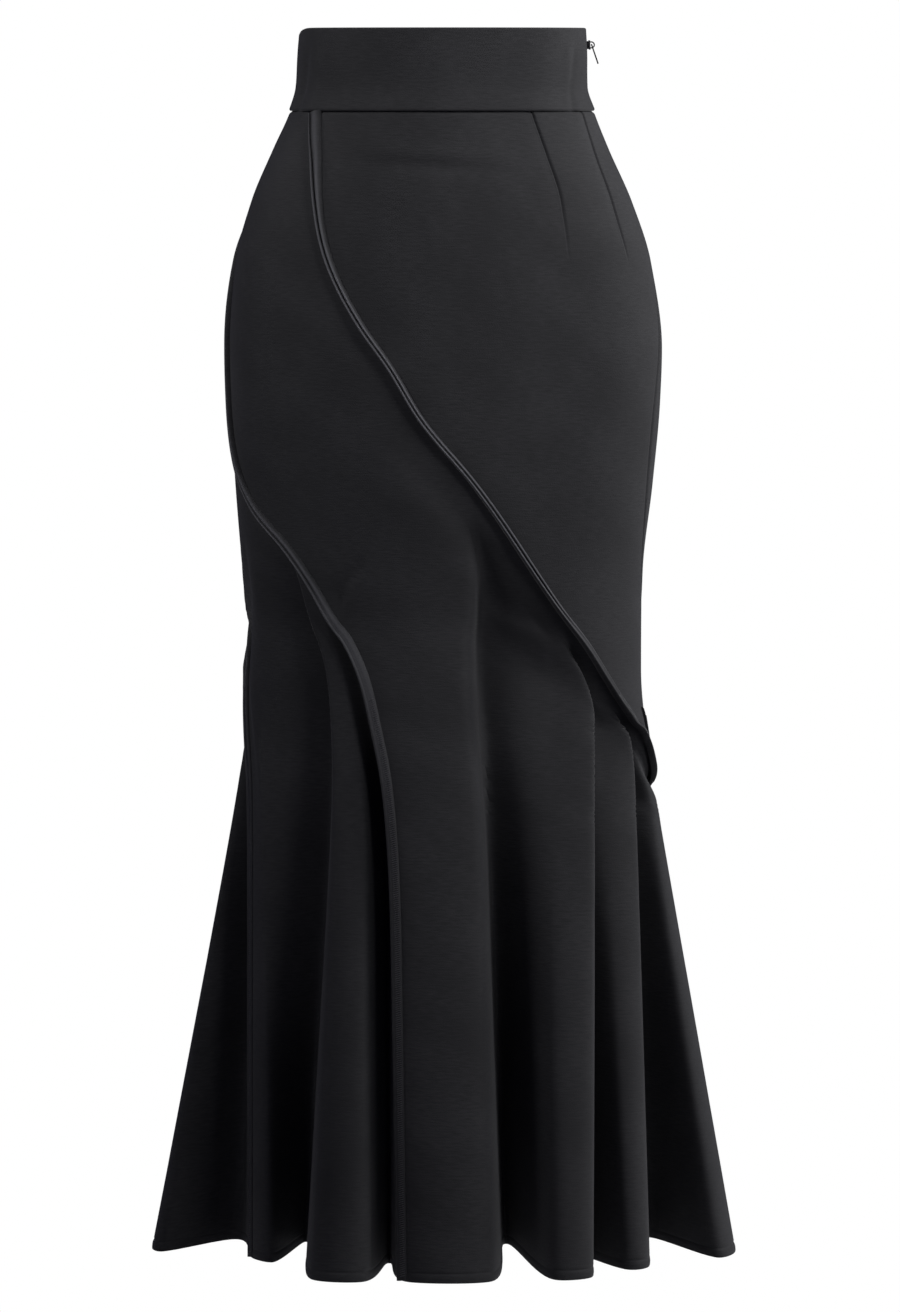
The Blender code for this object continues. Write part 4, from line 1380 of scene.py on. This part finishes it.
@dataclass
class SideZip:
    """The concealed zip in the left side seam: tape, coil, slider and pull tab."""

    form: SkirtForm
    cloth: Wardrobe
    inset: float = 5.0
    coil_radius: float = 0.9
    coil_half_width: float = 1.9
    coil_pitch: float = 1.5
    wire_radius: float = 0.32
    steps_a_turn: int = 10
    first: float = 18.0
    last: float = 202.0

    def build(self) -> None:
        """Gives the CAD tape, slider and tab their finishes and adds the coil."""
        tape, metal = self.cloth.tape, self.cloth.metal
        for node, material in (("zip_tape", tape), ("zip_slider", metal), ("zip_pull_tab", metal)):
            bpy.data.objects[node].material_slots[0].material = material
            log.info("%s: finished as %s", node, material.name)
        self.build_coil()

    def build_coil(self) -> None:
        """Winds the closed coil inside the tape.

        The wire's path is the zip's line moved in, plus an oval: its half width times the cosine
        along the tape's width, and its radius times the sine outwards.
        """
        turns = int((self.last - self.first) / self.coil_pitch)
        phase = np.linspace(0, 2 * math.pi * turns, turns * self.steps_a_turn)
        drop = np.linspace(self.first, self.last, len(phase))
        angle = np.where(drop < self.form.band_height, 90.0, self.form.seam_angle(Seam.SIDE, drop))
        across, down = self.form.across_and_down(angle, drop)
        out = unit(np.cross(down, across))
        centre = self.form.place(angle, drop, dips=0) - out * (self.inset + self.coil_radius)
        side = unit(across) * np.cos(phase)[:, None] * self.coil_half_width
        path = centre + side + out * (np.sin(phase) * self.coil_radius)[:, None]
        thread("zip_coil", path[None], out[None], self.wire_radius, self.cloth)


# ---- Studio ----


@dataclass(frozen=True)
class Softbox:
    """A soft light: where it stands, its width and height in metres, and its power.

    A honeycomb grid in front of it narrows its beam to the spread, in degrees, and the aim says how
    far below the waist's edge it points, in metres.
    """

    name: str
    place: tuple[float, float, float]
    width: float
    height: float
    power: float
    spread: float = 180.0
    aim: float = 0.44


@dataclass
class Studio:
    """A pale floor in a pale room, soft lights and the camera at waist height in front."""

    floor_gap: float = 0.12
    floor_radius: float = 0.5
    distance: float = 7.0
    frame_height: float = 0.984
    aim: tuple[float, float, float] = (0.0056, 0.0, -0.44)
    room_light: float = 0.03
    room_colour: str = "#7d6cff"
    room_seen: float = 1.0
    softboxes: tuple[Softbox, ...] = (
        Softbox("softbox_key", (1.35, -0.45, 0.8), 0.45, 0.45, 17),
        Softbox("softbox_hips", (1.1, -1.7, 0.9), 0.4, 0.4, 0.7, spread=40, aim=0.10),
        Softbox("softbox_front", (1.2, -2.0, 1.0), 0.6, 0.6, 4.3),
        Softbox("softbox_left", (-1.2, -1.0, 0.9), 0.5, 0.6, 1.2, spread=50, aim=0.08),
        Softbox("softbox_low", (1.5, -1.3, -0.3), 0.4, 0.4, 0.5, spread=60, aim=0.72),
        Softbox("softbox_rim_right", (1.8, 0.9, 0.3), 0.4, 1.4, 16),
        Softbox("softbox_rim_left", (-1.5, 0.3, 0.9), 0.4, 0.8, 5),
    )

    def build_floor(self, low: Vector) -> None:
        """Lays the floor: a round sheet below the object, radius times the cosine and sine.

        Args:
            low: The object's lowest corner.
        """
        turn = np.linspace(0, 2 * math.pi, 96, endpoint=False)
        height = np.full_like(turn, low.z - self.floor_gap)
        x, y = self.floor_radius * np.cos(turn), self.floor_radius * np.sin(turn)
        rim = np.stack([x, y, height], -1)
        floor = piece("studio_floor", rim / MM, [np.arange(len(turn))[None]])
        floor.data.materials.append(MattePaint().make())
        floor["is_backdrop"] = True

    def build_lights(self) -> None:
        """Sets up the softboxes, each turned to the skirt, and the room.

        The room looks white and lights the skirt only faintly, as a studio with far walls does.
        """
        for box in self.softboxes:
            light = bpy.data.lights.new(box.name, "AREA")
            light.shape, light.size, light.size_y = "RECTANGLE", box.width, box.height
            light.energy, light.spread = box.power, math.radians(box.spread)
            lamp = bpy.data.objects.new(box.name, light)
            lamp.location = box.place
            aim = Vector((self.aim[0], 0.0, -box.aim)) - Vector(box.place)
            lamp.rotation_euler = aim.to_track_quat("-Z", "Y").to_euler()
            bpy.context.scene.collection.objects.link(lamp)
        world = bpy.data.worlds.new("studio_room")
        world.use_nodes = True
        tree = world.node_tree
        seen = add_node(tree, "LightPath").outputs["Is Camera Ray"]
        ends = {"Value": seen, "To Min": self.room_light, "To Max": self.room_seen}
        strength = add_node(tree, "MapRange", ends).outputs[0]
        ends = {0: seen, 1: linear(self.room_colour), 2: (1.0, 1.0, 1.0, 1.0)}
        colour = add_node(tree, "MixRGB", ends).outputs[0]
        tree.links.new(colour, tree.nodes["Background"].inputs["Color"])
        tree.links.new(strength, tree.nodes["Background"].inputs["Strength"])
        bpy.context.scene.world = world

    def build_camera(self) -> None:
        """Sets the camera up at waist height, aimed at the skirt's middle."""
        lens = bpy.data.cameras.new("camera")
        lens.sensor_fit, lens.sensor_height, lens.sensor_width = "VERTICAL", 36.0, 36.0
        lens.lens = lens.sensor_height * self.distance / self.frame_height
        camera = bpy.data.objects.new("camera", lens)
        place = Vector((self.aim[0], -self.distance, 0.0))
        camera.location = place
        camera.rotation_euler = (Vector(self.aim) - place).to_track_quat("-Z", "Y").to_euler()
        bpy.context.scene.collection.objects.link(camera)
        bpy.context.scene.camera = camera

    def build(self, low: Vector) -> None:
        """Builds the floor, the lights and the camera.

        Args:
            low: The object's lowest corner.
        """
        self.build_camera()
        self.build_lights()
        self.build_floor(low)
        bpy.context.scene.view_settings.view_transform = "Standard"
        log.info("studio: %d softboxes", len(self.softboxes))


# ---- The whole skirt ----


@dataclass
class MermaidSkirt:
    """The skirt's pieces, in the order in which they are sewn."""

    form: SkirtForm
    cloth: Wardrobe

    def parts(self) -> list[ClothPanel | Waistband | RaisedSeam | SideZip]:
        """Returns the four cut panels, the waistband, the raised seams and the zip."""
        both = self.form, self.cloth
        return [
            FrontWrapPanel("front_wrap_panel", 150, 170, Seam.WRAP, Seam.SIDE, *both),
            ClothPanel("front_panel", 150, 250, Seam.FRONT, Seam.WRAP, *both),
            ClothPanel("left_panel", 100, 240, Seam.LEFT, Seam.FRONT, *both),
            BackPanel("back_panel", 160, 230, Seam.SIDE, Seam.LEFT, *both),
            Waistband(*both),
            *(RaisedSeam(seam, *both) for seam in ROLLS),
            SideZip(*both),
        ]

    def build(self) -> None:
        """Builds each part, which reports itself."""
        for part in self.parts():
            part.build()


def main() -> None:
    """Loads the frame, sets up the studio and builds the skirt."""
    logging.basicConfig(level=logging.INFO, format="%(name)s: %(message)s")
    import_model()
    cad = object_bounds()
    Studio().build(cad[0])
    MermaidSkirt(SkirtForm(), Wardrobe()).build()


if __name__ == "__main__":
    main()
